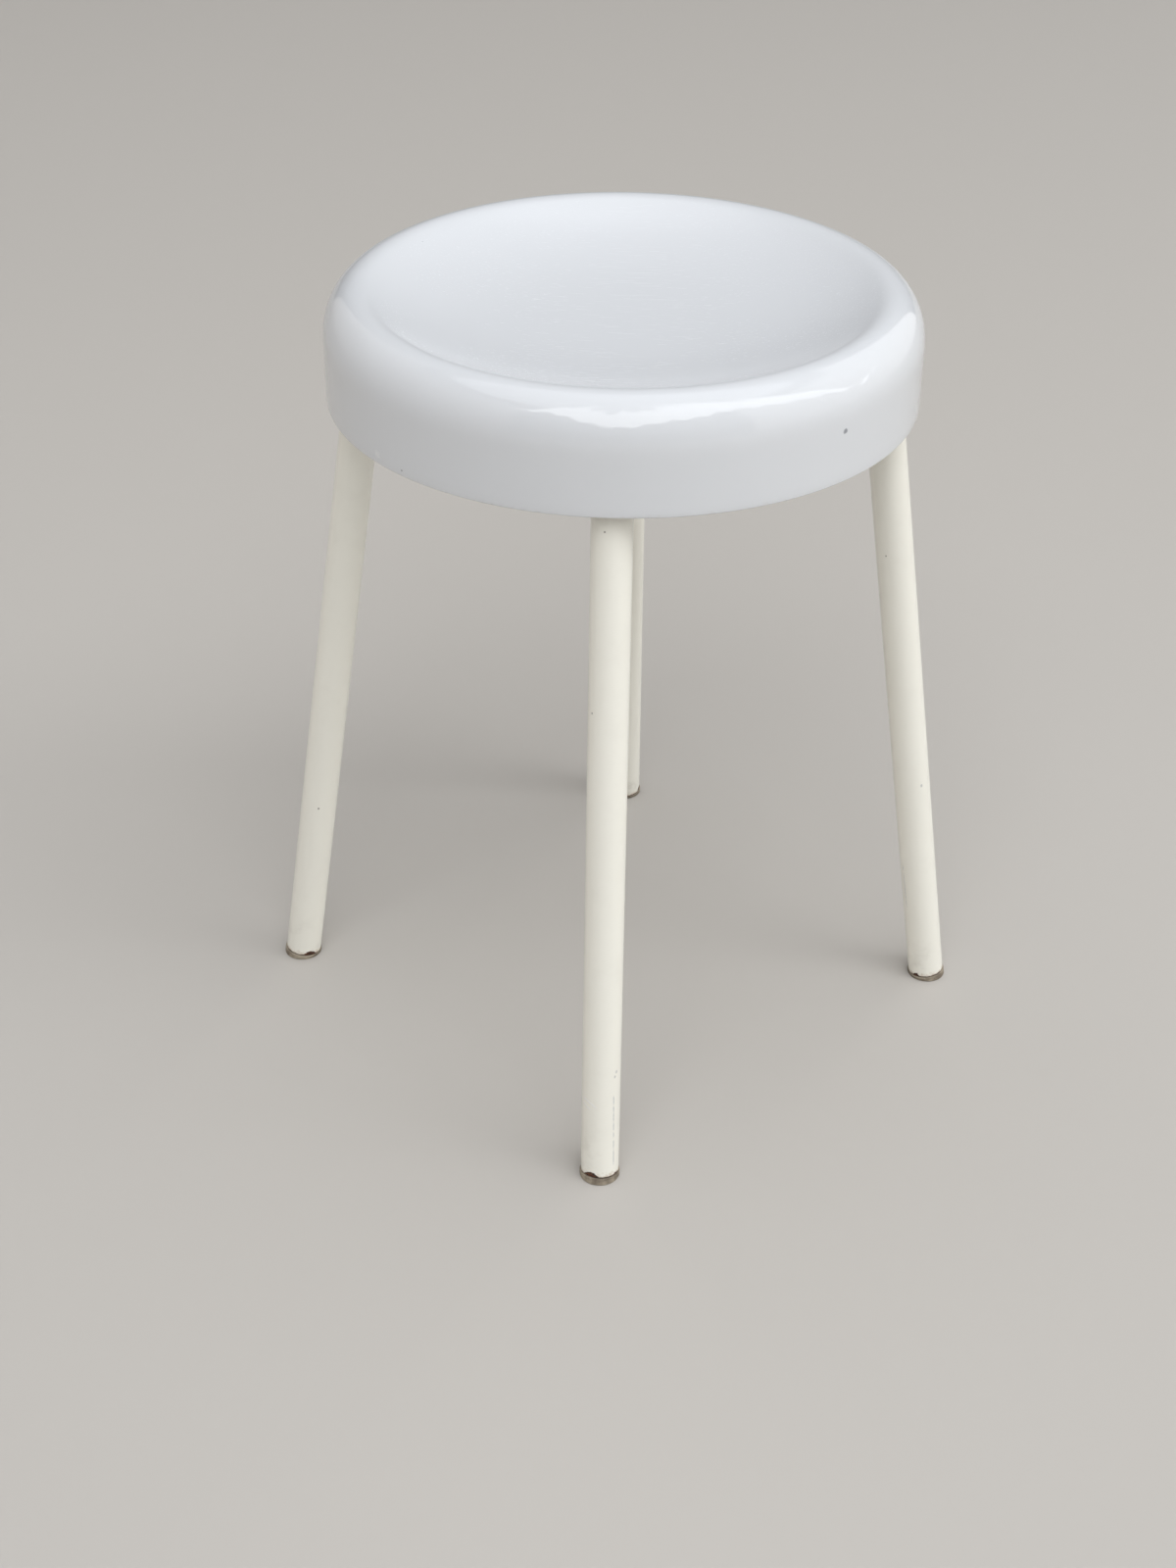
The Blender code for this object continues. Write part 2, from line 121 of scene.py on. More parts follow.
def upright_place(node):
    """Origin at height zero under a node's middle; x away from the stool, z upwards."""
    low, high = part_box(node)
    middle = np.array([(low.x + high.x) / 2, (low.y + high.y) / 2, 0.0])
    distance = np.linalg.norm(middle)
    out = middle / distance if distance > MM else np.array([1.0, 0.0, 0.0])
    up = np.array([0.0, 0.0, 1.0])
    return Place(middle, np.stack([out, np.cross(up, out), up], axis=1))


class Span:
    """What a node measures in a place's axes: its two ends, and its radii about the third."""

    def __init__(self, node, place):
        local = place.local(node_points(node))
        radius = np.hypot(local[:, 0], local[:, 1])
        self.low, self.high = local[:, 2].min(), local[:, 2].max()
        self.inner, self.outer = radius.min(), radius.max()
        self.radii, self.heights = radius, local[:, 2]

    def smallest_at(self, height):
        """Radius of the smallest ring of vertices at a height."""
        level = np.abs(self.heights - height) < MM / 20
        return self.radii[level].min()


def screw_sizes(leg, circle):
    """Place and span of a seat screw, the height of its head's top, and its shank's radius."""
    node = f"seat_screw_{leg}_{circle}"
    place = upright_place(node)
    span = Span(node, place)
    top = Span(node.replace("screw", "washer"), place).low - GAP
    return place, span, top, span.smallest_at(top)


# ---- Lines ----
def points_at(*pairs):
    return np.array(pairs, float)


def arc(centre, radii, start, end, count):
    """Points on an ellipse's arc, centre + radii * (cos a, sin a), for a in degrees."""
    angle = np.radians(np.linspace(start, end, count))
    return np.stack([np.cos(angle), np.sin(angle)], axis=1) * radii + centre


def along(line):
    """Distance along a line at each of its points."""
    return np.concatenate([[0.0], np.cumsum(np.hypot(*np.diff(line, axis=0).T))])


def eased(line, reach, step=0.00025):
    """A line that starts on the axis, with its bends spread out along it.

    The line is resampled at even steps and averaged with a raised-cosine window
    that reaches this far each way. It is mirrored in the axis, and runs straight
    on past its far end, so both ends stay where they are.
    """
    length = along(line)
    even = np.arange(0.0, length[-1], step)
    r, z = (np.interp(even, length, line[:, i]) for i in (0, 1))
    count = int(reach / step)
    past = np.arange(1, count + 1)
    r = np.concatenate([-r[count:0:-1], r, r[-1] + past * (r[-1] - r[-2])])
    z = np.concatenate([z[count:0:-1], z, z[-1] + past * (z[-1] - z[-2])])
    window = 1 + np.cos(np.linspace(-pi, pi, 2 * count + 1))
    window /= window.sum()
    return np.stack([np.convolve(r, window, "valid"), np.convolve(z, window, "valid")], axis=1)


def spaced(line, longest, turn):
    """Fewer points of a line: each step is at most this long and turns at most this far.

    The steps are equal in the sum of length / longest and bend / turn.
    """
    run = np.diff(line, axis=0)
    heading = np.unwrap(np.arctan2(run[:, 1], run[:, 0]))
    cost = np.hypot(*run.T) / longest + np.abs(np.gradient(heading)) / turn
    total = np.concatenate([[0.0], np.cumsum(cost)])
    wanted = np.linspace(0.0, total[-1], int(np.ceil(total[-1])) + 1)
    place = np.interp(wanted, total, np.arange(len(line)))
    return np.stack([np.interp(place, np.arange(len(line)), line[:, i]) for i in (0, 1)], axis=1)


def beside(line, distance):
    """The line moved to the right of its direction by a distance, square to itself."""
    run = np.gradient(line, axis=0)
    run /= np.linalg.norm(run, axis=1, keepdims=True)
    return line + distance * np.stack([run[:, 1], -run[:, 0]], axis=1)


def rounded(corners, radii, count=5):
    """A line through corners, each turned into an arc that touches both of its sides.

    The arc starts at radius * tan(half the turn) before the corner and ends as far
    after it. It is drawn as the blend of those two points and the corner by
    (1-t)^2, 2t(1-t) and t^2. A radius of 0 keeps the corner.
    """
    corners = np.asarray(corners, float)
    line = [corners[:1]]
    for before, here, after, radius in zip(corners, corners[1:], corners[2:], radii):
        if radius == 0:
            line.append(here[None])
            continue
        back, on = unit(before - here), unit(after - here)
        half_turn = (pi - np.arccos(np.clip(back @ on, -1, 1))) / 2
        cut = radius * tan(half_turn)
        t = np.linspace(0, 1, count)[:, None]
        line.append((1 - t) ** 2 * (here + cut * back) + 2 * t * (1 - t) * here + t**2 * (here + cut * on))
    return np.concatenate(line + [corners[-1:]])


# ---- Patches and pieces ----
def round_axis(r, angle, z):
    """Points at a radius, an angle and a height about the third axis."""
    r, angle, z = np.broadcast_arrays(r, angle, z)
    return np.stack([r * np.cos(angle), r * np.sin(angle), z], axis=-1)


def turned(line, sides, place, shift=None):
    """Patch turned from a line: (r cos a, r sin a, z) for a at even steps round.

    shift(r, a), if given, is added to the height of every point.
    """
    angle = np.arange(sides) * 2 * pi / sides
    r, z = line[:, :1], line[:, 1:]
    height = z if shift is None else z + shift(r, angle)
    return place.world(round_axis(r, angle, height)), True


def quads_of(rows, columns, joined):
    """Corners of a grid's quads; a joined grid's last column meets its first."""
    index = np.arange(rows * columns).reshape(rows, columns)
    if joined:
        index = np.hstack([index, index[:, :1]])
    corners = (index[:-1, :-1], index[:-1, 1:], index[1:, 1:], index[1:, :-1])
    return np.stack(corners, axis=-1).reshape(-1, 4)


def mesh_of(name, patches, sharp=35.0):
    """One closed mesh from patches, sewn where they meet, with its faces outwards."""
    points, quads, start = [], [], 0
    for grid, joined in patches:
        rows, columns = grid.shape[:2]
        points.append(grid.reshape(-1, 3))
        quads.append(quads_of(rows, columns, joined) + start)
        start += rows * columns
    mesh = bpy.data.meshes.new(name)
    mesh.from_pydata(np.concatenate(points), [], np.concatenate(quads))
    bm = bmesh.new()
    bm.from_mesh(mesh)
    bmesh.ops.remove_doubles(bm, verts=bm.verts, dist=2e-6)
    bmesh.ops.recalc_face_normals(bm, faces=bm.faces)
    bm.to_mesh(mesh)
    bm.free()
    mesh.shade_smooth()
    mesh.set_sharp_from_angle(angle=radians(sharp))
    return mesh


def add_piece(name, mesh, material, node):
    """Puts a finished mesh in the scene, riding on the stool and standing for a node."""
    piece = bpy.data.objects.new(name, mesh)
    bpy.context.scene.collection.objects.link(piece)
    mesh.materials.clear()
    mesh.materials.append(material)
    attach(piece, "root")
    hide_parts(node)
    return piece


def threaded(radius, depth, pitch, low, high, place, starts_flat, sides=24, rows_per_turn=8):
    """Patch of a screw thread, closed at both ends.

    The radius at angle a and height z is radius - depth * w, where w runs 0, 1, 0
    over each pitch of z - pitch * a / 2 pi. It is held under a cone at the tip,
    and at the other end the thread fades out over one pitch if it starts flat.
    """
    count = int((high - low) / pitch * rows_per_turn)
    z = np.linspace(low, high, count)[:, None]
    angle = np.arange(sides) * 2 * pi / sides
    phase = (z / pitch - angle / (2 * pi)) % 1.0
    cut = 1 - np.abs(2 * phase - 1)
    if starts_flat:
        cut = cut * np.clip((z - low) / pitch, 0, 1)
    r = radius - depth * cut
    r = np.minimum(r, radius - 1.5 * depth + (high - z))
    if not starts_flat:
        r = np.minimum(r, radius - 1.5 * depth + (z - low))
    tip, end = (round_axis(0.0, angle[None], level) for level in (low, high))
    return place.world(np.concatenate([tip, round_axis(r, angle, z), end])), True


# ---- Shader nodes ----
class Signal:
    """A node's output that takes part in sums: each operator adds one Math node."""

    def __init__(self, finish, socket):
        self.finish = finish
        self.socket = socket

    def maths(self, operation, first, second):
        return self.finish.node("ShaderNodeMath", {"operation": operation}, {0: first, 1: second})

    def __add__(self, other):
        return self.maths("ADD", self, other)

    def __sub__(self, other):
        return self.maths("SUBTRACT", self, other)

    def __mul__(self, other):
        return self.maths("MULTIPLY", self, other)

    def __truediv__(self, other):
        return self.maths("DIVIDE", self, other)

    def __radd__(self, other):
        return self.maths("ADD", other, self)

    def __rsub__(self, other):
        return self.maths("SUBTRACT", other, self)

    def __rmul__(self, other):
        return self.maths("MULTIPLY", other, self)

    def largest(self, other):
        return self.maths("MAXIMUM", self, other)

    def size(self):
        return self.maths("ABSOLUTE", self, 0.0)

    def rise(self, low, high):
        """0 below low, 1 above high, and a smooth step between them."""
        settings = {"interpolation_type": "SMOOTHSTEP"}
        return self.finish.node("ShaderNodeMapRange", settings, {0: self, 1: low, 2: high})

    def fall(self, low, high):
        return 1 - self.rise(low, high)


class Finish:
    """A material in the making: a Principled shader and the nodes that feed it."""

    def __init__(self, name, place=None, **constants):
        self.material = bpy.data.materials.new(name)
        self.material.use_nodes = True
        self.shader = self.material.node_tree.nodes["Principled BSDF"]
        for socket, value in constants.items():
            self.shader.inputs[socket.replace("_", " ")].default_value = value
        self.at = self.node("ShaderNodeTexCoord", out="Object")
        if place is not None:
            self.at = self.turned_to(place)

    def node(self, kind, settings=None, values=None, out=0):
        """Adds a node: its settings first, then its sockets' values or links."""
        node = self.material.node_tree.nodes.new(kind)
        for name, value in (settings or {}).items():
            setattr(node, name, value)
        for name, value in (values or {}).items():
            self.feed(node.inputs[name], value)
        return Signal(self, node.outputs[out])

    def feed(self, target, value):
        if isinstance(value, Signal):
            self.material.node_tree.links.new(value.socket, target)
        else:
            target.default_value = value

    def give(self, **sockets):
        for name, value in sockets.items():
            self.feed(self.shader.inputs[name.replace("_", " ")], value)

    def turned_to(self, place):
        """Coordinates in a place's own axes, in metres."""
        turn = Matrix(place.axes.T.tolist())
        shift = turn @ Matrix.Translation((-place.origin).tolist()).to_translation()
        values = {"Vector": self.at, "Location": shift, "Rotation": turn.to_euler()}
        return self.node("ShaderNodeMapping", {}, values)

    def stretched(self, scale, rotation):
        values = {"Vector": self.at, "Rotation": rotation, "Scale": scale}
        return self.node("ShaderNodeMapping", {}, values)

    def parts(self):
        """The three numbers of the coordinates."""
        first = self.node("ShaderNodeSeparateXYZ", {}, {"Vector": self.at})
        outputs = first.socket.node.outputs
        return [Signal(self, outputs[i]) for i in range(3)]

    def length(self, x, y):
        """Length of the flat vector with these two parts."""
        flat = self.node("ShaderNodeCombineXYZ", {}, {0: x, 1: y})
        return self.node("ShaderNodeVectorMath", {"operation": "LENGTH"}, {0: flat}, "Value")

    def noise(self, per_metre, detail=3.0, roughness=0.5, vector=None, shift=0.0):
        """Noise from 0 to 1 with this many lumps to the metre."""
        settings = {"noise_dimensions": "4D"}
        values = {"W": shift, "Scale": per_metre, "Detail": detail, "Roughness": roughness}
        values["Vector"] = self.at if vector is None else vector
        return self.node("ShaderNodeTexNoise", settings, values)

    def specks(self, per_metre, size, share):
        """Scattered round marks: of all cells, this share holds a mark up to this size."""
        values = {"Vector": self.at, "Scale": per_metre}
        distance = self.node("ShaderNodeTexVoronoi", {}, values)
        colour = Signal(self, distance.socket.node.outputs["Color"])
        chance = self.node("ShaderNodeSeparateColor", {}, {0: colour})
        radius = (chance - (1 - share)) * (size * per_metre / share)
        return (radius - distance).rise(0.0, 0.15 * size * per_metre)

    def scratches(self, length, width, turn, shift):
        """Fine streaks: noise drawn out along one level direction and cut off high up."""
        vector = self.stretched((1 / length, 1 / width, 1 / width), (0, 0, turn))
        return self.noise(1.0, 1.0, 0.4, vector, shift).rise(0.70, 0.76)

    def spot(self, centre, size, ragged):
        """A ragged mark round a point: 1 inside, 0 past its size.

        Noise with lumps a little smaller than the mark pushes its edge in and out.
        """
        values = {0: self.at, 1: centre}
        distance = self.node("ShaderNodeVectorMath", {"operation": "DISTANCE"}, values, "Value")
        push = (self.noise(1.2 / size, 3.0, 0.6, shift=sum(centre) * 50) - 0.5) * (2 * ragged * size)
        return (distance + push).fall(0.35 * size, 0.65 * size)

    def blend(self, factor, first, second):
        """Colour between two colours."""
        values = {0: factor, 6: rgb(first), 7: rgb(second)}
        return self.node("ShaderNodeMix", {"data_type": "RGBA"}, values, out=2)

    def relief(self, height_mm):
        """Normal of a relief whose height is given in millimetres."""
        return self.node("ShaderNodeBump", {}, {"Height": height_mm, "Distance": MM, "Strength": 1.0})


def union(shape, marks):
    """The union of a shape drawn at each mark of a list."""
    return reduce(Signal.largest, [shape(*mark) for mark in marks])


def shade(colour, factor):
    """A colour made darker or lighter by a factor, up to white."""
    return [min(part * factor, 1.0) for part in colour]


def rgb(colour):
    """A colour as a socket takes it, from three numbers or from another node."""
    return colour if isinstance(colour, Signal) else (*colour[:3], 1.0)


# ---- Materials ----
SCUFF_GREY = (0.20, 0.21, 0.24)
DUST = (0.46, 0.42, 0.36)
RUST_DARK = (0.030, 0.013, 0.008)
RUST_BRIGHT = (0.130, 0.045, 0.018)

# Where the seat's looks change: the radii over which the dish's own roughness fades,
# and the heights where it starts, and where the grime at the skirt's foot ends.
DISH_RADII = (0.135, 0.150)
DISH_HEIGHTS = (0.430, 0.438)
SKIRT_FOOT = (0.4035, 0.4055)
# Streaks of wiping: length, width, direction in radians, and the shift of their noise.
SEAT_WIPING = ((0.030, 0.00050, 0.45, 0.0), (0.022, 0.00042, -0.95, 4.0), (0.018, 0.00040, 1.75, 7.0))
# Marks on the seat: middle, size and how ragged the edge is.
SEAT_SCUFFS = (
    ((0.1177, -0.1164, 0.4320), 0.0028, 0.35),
    ((0.0783, -0.1133, 0.4572), 0.0009, 0.5),
    ((-0.1101, -0.1236, 0.4065), 0.0010, 0.4),
)
SEAT_SMEAR = ((-0.1244, -0.1091, 0.4088), 0.0040, 0.6)


def seat_plastic(sizes):
    """Glossy white moulded plastic: faint flow tone, fine wiping scratches, a few scuffs."""
    colour = tuple(sizes.colour)
    finish = Finish("moulded_plastic", Roughness=0.05, IOR=1.55)
    x, y, z = finish.parts()
    dish = finish.length(x, y).fall(*DISH_RADII) * z.rise(*DISH_HEIGHTS)

    tone = finish.noise(9.0, 2.0) - 0.5
    base = finish.blend(tone * 0.5 + 0.5, shade(colour, 0.985), shade(colour, 1.012))
    grime = finish.noise(60.0, 4.0, 0.6, shift=2.0).rise(0.56, 0.78) * z.fall(*SKIRT_FOOT)
    base = finish.blend(grime * 0.55, base, DUST)

    worn = finish.noise(14.0, 3.0, shift=9.0).rise(0.42, 0.66)
    wiping = union(finish.scratches, SEAT_WIPING) * worn
    marks = finish.specks(85.0, 0.00045, 0.035)
    scuffs = union(finish.spot, SEAT_SCUFFS)
    base = finish.blend(marks * 0.55, base, SCUFF_GREY)
    base = finish.blend(scuffs * 0.80, base, SCUFF_GREY)
    smear = finish.spot(*SEAT_SMEAR)
    base = finish.blend(smear * 0.35, base, (0.93, 0.94, 0.95))

    haze = finish.noise(22.0, 4.0, 0.6, shift=3.0)
    roughness = 0.030 + haze * 0.030 + dish * 0.22 + wiping * (0.07 + dish * 0.08)
    roughness = roughness + scuffs * 0.3 + grime * 0.4
    sink = finish.noise(16.0, 1.0, shift=5.0) * 0.050 + finish.noise(120.0, 2.0, shift=6.0) * 0.0030
    height = sink - wiping * 0.0022 - scuffs * 0.020 - marks * 0.010
    finish.give(Base_Color=base, Roughness=roughness, Normal=finish.relief(height))
    return finish.material


# Marks on the legs, in degrees round the leg from its outer side and metres up it.
# Specks and smudges: angle, height, width of the mark, height of the mark.
# Scratches: angle and height of the top end, and then of the lower end.
# Rubs: angle and height of one end, then of the other, and how far it bows upwards.
# Chips: angle of the middle, height above the tube's end, and width.
LEG_SPECKS = {
    "front": ((-17.8, 0.3942, 0.0010, 0.0010), (-50.0, 0.2926, 0.0009, 0.0012)),
    "right": ((-120.0, 0.310, 0.0008, 0.0010),),
    "rear": ((60.0, 0.180, 0.0010, 0.0009), (-80.0, 0.300, 0.0008, 0.0012)),
    "left": ((-40.0, 0.250, 0.0009, 0.0010), (95.0, 0.120, 0.0010, 0.0013)),
}
LEG_SMUDGES = {
    "front": ((52.0, 0.0728, 0.0014, 0.0020), (46.0, 0.0700, 0.0014, 0.0018)),
    "right": ((-60.0, 0.150, 0.0015, 0.0022),),
    "rear": ((20.0, 0.080, 0.0014, 0.0030),),
    "left": ((-20.0, 0.330, 0.0016, 0.0024), (10.0, 0.060, 0.0013, 0.0018)),
}
LEG_SCRATCHES = {
    "front": ((42.0, 0.0584, 48.0, 0.0081),),
    "right": ((-150.0, 0.090, -146.0, 0.055),),
    "rear": ((10.0, 0.070, 4.0, 0.034),),
    "left": ((-70.0, 0.045, -66.0, 0.012),),
}
LEG_RUBS = {
    "front": ((-68.0, 0.0545, -8.0, 0.0500, 0.0012), (-75.0, 0.0508, -28.0, 0.0482, 0.0008)),
    "right": ((100.0, 0.070, 150.0, 0.074, 0.0010),),
    "rear": ((-40.0, 0.110, 20.0, 0.112, 0.0006),),
    "left": ((-60.0, 0.085, -5.0, 0.089, 0.0015),),
}
LEG_CHIPS = {
    "front": ((-27.0, 0.0034, 0.0110), (62.0, 0.0012, 0.0060)),
    "right": ((-126.0, 0.0026, 0.0050), (30.0, 0.0016, 0.0080)),
    "rear": ((-100.0, 0.0030, 0.0070), (150.0, 0.0020, 0.0060)),
    "left": ((-60.0, 0.0016, 0.0050), (120.0, 0.0034, 0.0090)),
}


def leg_enamel(leg, sizes):
    """Thick cream stove enamel on a steel tube, chipped at the foot and scratched."""
    place = leg_place(leg)
    tube = Span("leg_tube_" + leg, place)
    finish = Finish("leg_enamel_" + leg, place, Roughness=0.18, IOR=1.52)
    seed = 3.7 * LEGS.index(leg)
    out, side, up = finish.parts()
    angle = finish.node("ShaderNodeMath", {"operation": "ARCTAN2"}, {0: side, 1: out})
    colour = tuple(sizes.enamel_colour)

    def across(centre):
        """Distance round the tube from a line at an angle, both ways round."""
        turn = (angle - radians(centre)).size()
        shorter = turn.maths("MINIMUM", turn, 2 * pi - turn)
        return shorter * tube.outer

    ragged = finish.noise(420.0, 4.0, 0.65, shift=seed) - 0.5
    small = finish.noise(1500.0, 2.0, 0.6, shift=seed + 1) - 0.5

    def oval(centre, height, width, tall):
        """A ragged oval spot with soft edges."""
        distance = finish.length(across(centre) / (width / 2), (up - height) / (tall / 2))
        return (distance + ragged * 1.2).fall(0.65, 1.35)

    def scratch(start, high, end, low):
        """A thin broken line down the leg from one angle and height to another."""
        share = (high - up) / (high - low)
        line = (angle - (share * radians(end - start) + radians(start))).size() * tube.outer
        inside = up.rise(low, low + 0.004) * up.fall(high - 0.002, high)
        broken = finish.noise(260.0, 2.0, shift=seed + 2).rise(0.38, 0.52)
        return (line + small * 0.0003).fall(0.00012, 0.00042) * inside * broken

    def chip(centre, height, width):
        """Bare steel up to a height that falls away as the square of the distance round."""
        edge = across(centre) / (width / 2)
        top = height * (1 - edge * edge)
        bared = (tube.low + top + ragged * 0.0042 + small * 0.0012 - up).rise(0.0, 0.0002)
        return bared * edge.fall(1.0, 1.15)

    def rub(start, low, end, high, bow):
        """A pale line round the tube from one angle to another, bowed upwards."""
        share = (angle - radians(start)) / radians(end - start)
        middle = share * (high - low) + low + share * (1 - share) * (4 * bow)
        inside = share.rise(0.0, 0.15) * share.fall(0.85, 1.0)
        return (up - middle + small * 0.0002).size().fall(0.00015, 0.00055) * inside

    specks = finish.specks(55.0, 0.0006, 0.05).largest(union(oval, LEG_SPECKS[leg]))
    smudges = union(oval, LEG_SMUDGES[leg])
    scores = union(scratch, LEG_SCRATCHES[leg])
    rubs = union(rub, LEG_RUBS[leg])
    bare = (tube.low + 0.0006 + ragged * 0.0016 - up).rise(0.0, 0.0002)
    bare = bare.largest(union(chip, LEG_CHIPS[leg]))
    end_grain = up.rise(tube.high - 0.0004, tube.high - 0.0002)
    bore = finish.length(out, side).fall(tube.inner + 0.0001, tube.inner + 0.0003)
    bare = bare.largest(end_grain * 0.7).largest(bore)

    tone = finish.noise(18.0, 3.0, shift=seed + 3)
    base = finish.blend(tone, shade(colour, 0.975), shade(colour, 1.01))
    patchy = finish.noise(45.0, 5.0, 0.62, shift=seed + 4).rise(0.50, 0.80)
    dirt = patchy * (up.fall(0.002, 0.040) * 0.55 + 0.06)
    dirt = dirt.largest(up.fall(tube.low, tube.low + 0.0016) * 0.5)
    base = finish.blend(dirt, base, DUST)
    bleed = (tube.low + 0.0035 + ragged * 0.012 - up).rise(0.0, 0.004) * 0.45
    base = finish.blend(bleed, base, (0.50, 0.34, 0.20))
    base = finish.blend(smudges * 0.50, base, (0.30, 0.31, 0.33))
    base = finish.blend(scores * 0.72, base, (0.30, 0.34, 0.40))
    base = finish.blend(rubs * 0.85, base, (1.0, 0.995, 0.985))
    base = finish.blend(specks * 0.75, base, (0.16, 0.13, 0.10))
    rust = finish.blend(finish.noise(900.0, 3.0, shift=seed + 5).rise(0.42, 0.60), RUST_DARK, RUST_BRIGHT)
    base = finish.blend(bare, base, rust)

    haze = finish.noise(35.0, 4.0, 0.6, shift=seed + 6)
    roughness = 0.13 + haze * 0.10 + dirt * 0.35 + bare * 0.45 + scores * 0.2 + smudges * 0.2
    peel = finish.noise(260.0, 1.0, shift=seed + 7) * 0.014 + finish.noise(70.0, 1.0, shift=seed + 8) * 0.030
    height = peel + rubs * 0.090 - bare * 0.12 - scores * 0.025 - specks * 0.05
    finish.give(Base_Color=base, Roughness=roughness, Normal=finish.relief(height))
    return finish.material


def glide_plastic(leg):
    """Grey-brown foot plastic, scuffed pale and gritty where it meets the floor."""
    place = leg_place(leg)
    finish = Finish("glide_plastic_" + leg, place, Roughness=0.75, IOR=1.48)
    seed = 2.3 * LEGS.index(leg)
    grit = finish.noise(900.0, 5.0, 0.7, shift=seed)
    patch = finish.noise(160.0, 3.0, shift=seed + 1)
    base = finish.blend(patch.rise(0.35, 0.65), (0.185, 0.150, 0.112), (0.400, 0.345, 0.265))
    base = finish.blend(grit.rise(0.55, 0.70) * 0.6, base, (0.47, 0.43, 0.36))
    base = finish.blend(finish.specks(600.0, 0.0005, 0.20) * 0.8, base, (0.045, 0.035, 0.028))
    roughness = 0.62 + patch * 0.25
    height = grit * 0.10 + patch * 0.06
    finish.give(Base_Color=base, Roughness=roughness, Normal=finish.relief(height))
    return finish.material


def zinc_steel():
    """Zinc-plated steel gone dull: cloudy grey plating, white bloom, rust in places."""
    finish = Finish("zinc_plating", Metallic=1.0, Roughness=0.35)
    cloud = finish.noise(70.0, 4.0, 0.6)
    grain = finish.noise(700.0, 3.0, 0.6, shift=1.0)
    base = finish.blend(cloud, (0.46, 0.46, 0.45), (0.66, 0.66, 0.64))
    bloom = finish.noise(110.0, 5.0, 0.7, shift=3.0).rise(0.56, 0.72)
    rust = (finish.noise(42.0, 6.0, 0.68, shift=6.0) + grain * 0.10).rise(0.66, 0.76)
    base = finish.blend(bloom * 0.5, base, (0.74, 0.75, 0.74))
    base = finish.blend(rust, base, finish.blend(grain, RUST_DARK, RUST_BRIGHT))
    metallic = 1 - (bloom * 0.35).largest(rust * 0.95)
    roughness = 0.27 + cloud * 0.16 + bloom * 0.20 + rust * 0.40
    height = grain * 0.010 + rust * 0.060 + bloom * 0.012
    finish.give(Base_Color=base, Metallic=metallic, Roughness=roughness, Normal=finish.relief(height))
    return finish.material


def shared_material(name, make, *given):
    """The material of this name, made the first time it is asked for.

    The frame's own plain materials are already in the file, so no name here is one of theirs.
    """
    return bpy.data.materials.get(name) or make(*given)


# ---- Sizes and colours that a user may change ----
class SeatSizes(bpy.types.PropertyGroup):
    """Shape and colour of the seat moulding, where the frame's box doesn't give them."""

    roll_width: FloatProperty(
        name="Roll width", description="Crest of the rim to the outside of the skirt",
        default=0.0200, min=0.005, unit="LENGTH"
    )
    roll_height: FloatProperty(
        name="Roll height", description="Crest of the rim to where the skirt turns vertical",
        default=0.0260, min=0.005, unit="LENGTH"
    )
    crest_round: FloatProperty(
        name="Crest radius", description="Radius of the rim on the dish's side",
        default=0.0140, min=0.004, unit="LENGTH"
    )
    inner_slope: FloatProperty(
        name="Inner slope", description="Slope where the rim meets the dish",
        default=radians(27.0), min=0.1, max=1.2, subtype="ANGLE"
    )
    easing: FloatProperty(
        name="Easing", description="How far each bend of the outline is spread along it",
        default=0.0060, min=0.001, unit="LENGTH"
    )
    edge_round: FloatProperty(
        name="Skirt edge radius", description="Radius of the skirt's lower outer edge",
        default=0.0010, min=0.0002, unit="LENGTH"
    )
    boss_radius: FloatProperty(
        name="Boss radius", description="Radius of the screw bosses under the dish",
        default=0.0065, min=0.003, unit="LENGTH"
    )
    boss_fillet: FloatProperty(
        name="Boss fillet", description="Radius where a boss meets the dish",
        default=0.0020, min=0.0005, unit="LENGTH"
    )
    colour: FloatVectorProperty(
        name="Plastic colour", description="Colour of the moulded plastic",
        default=(0.755, 0.775, 0.803), size=3, min=0.0, max=1.0, subtype="COLOR"
    )


class LegSizes(bpy.types.PropertyGroup):
    """Edges and colour of the legs."""

    end_round: FloatProperty(
        name="Tube end radius", description="Rounding of the tube's cut ends",
        default=0.0004, min=0.0001, unit="LENGTH"
    )
    flange_round: FloatProperty(
        name="Flange radius", description="Rounding of the glide's worn lower edge",
        default=0.0005, min=0.0001, unit="LENGTH"
    )
    enamel_colour: FloatVectorProperty(
        name="Enamel colour", description="Colour of the tubes' enamel",
        default=(0.970, 0.953, 0.868), size=3, min=0.0, max=1.0, subtype="COLOR"
    )


class FixingSizes(bpy.types.PropertyGroup):
    """Fine shape of the bars, screws, studs, nuts and washers."""

    bar_edge: FloatProperty(
        name="Bar edge radius", description="Rounding of the bars' edges and holes",
        default=0.0005, min=0.0001, unit="LENGTH"
    )
    bar_corner: FloatProperty(
        name="Bar corner radius", description="Rounding of a bar's corners at its ends",
        default=0.0075, min=0.001, unit="LENGTH"
    )
    joggle_run: FloatProperty(
        name="Joggle run", description="Length over which the lower bar steps down",
        default=0.0080, min=0.004, unit="LENGTH"
    )
    stud_pitch: FloatProperty(
        name="Stud pitch", description="Pitch of the studs' thread",
        default=0.0015, min=0.0005, unit="LENGTH"
    )
    screw_pitch: FloatProperty(
        name="Screw pitch", description="Pitch of the seat screws' thread",
        default=0.0018, min=0.0005, unit="LENGTH"
    )
    recess: FloatProperty(
        name="Recess depth", description="Depth of the cross in a screw's head",
        default=0.0017, min=0.0003, unit="LENGTH"
    )


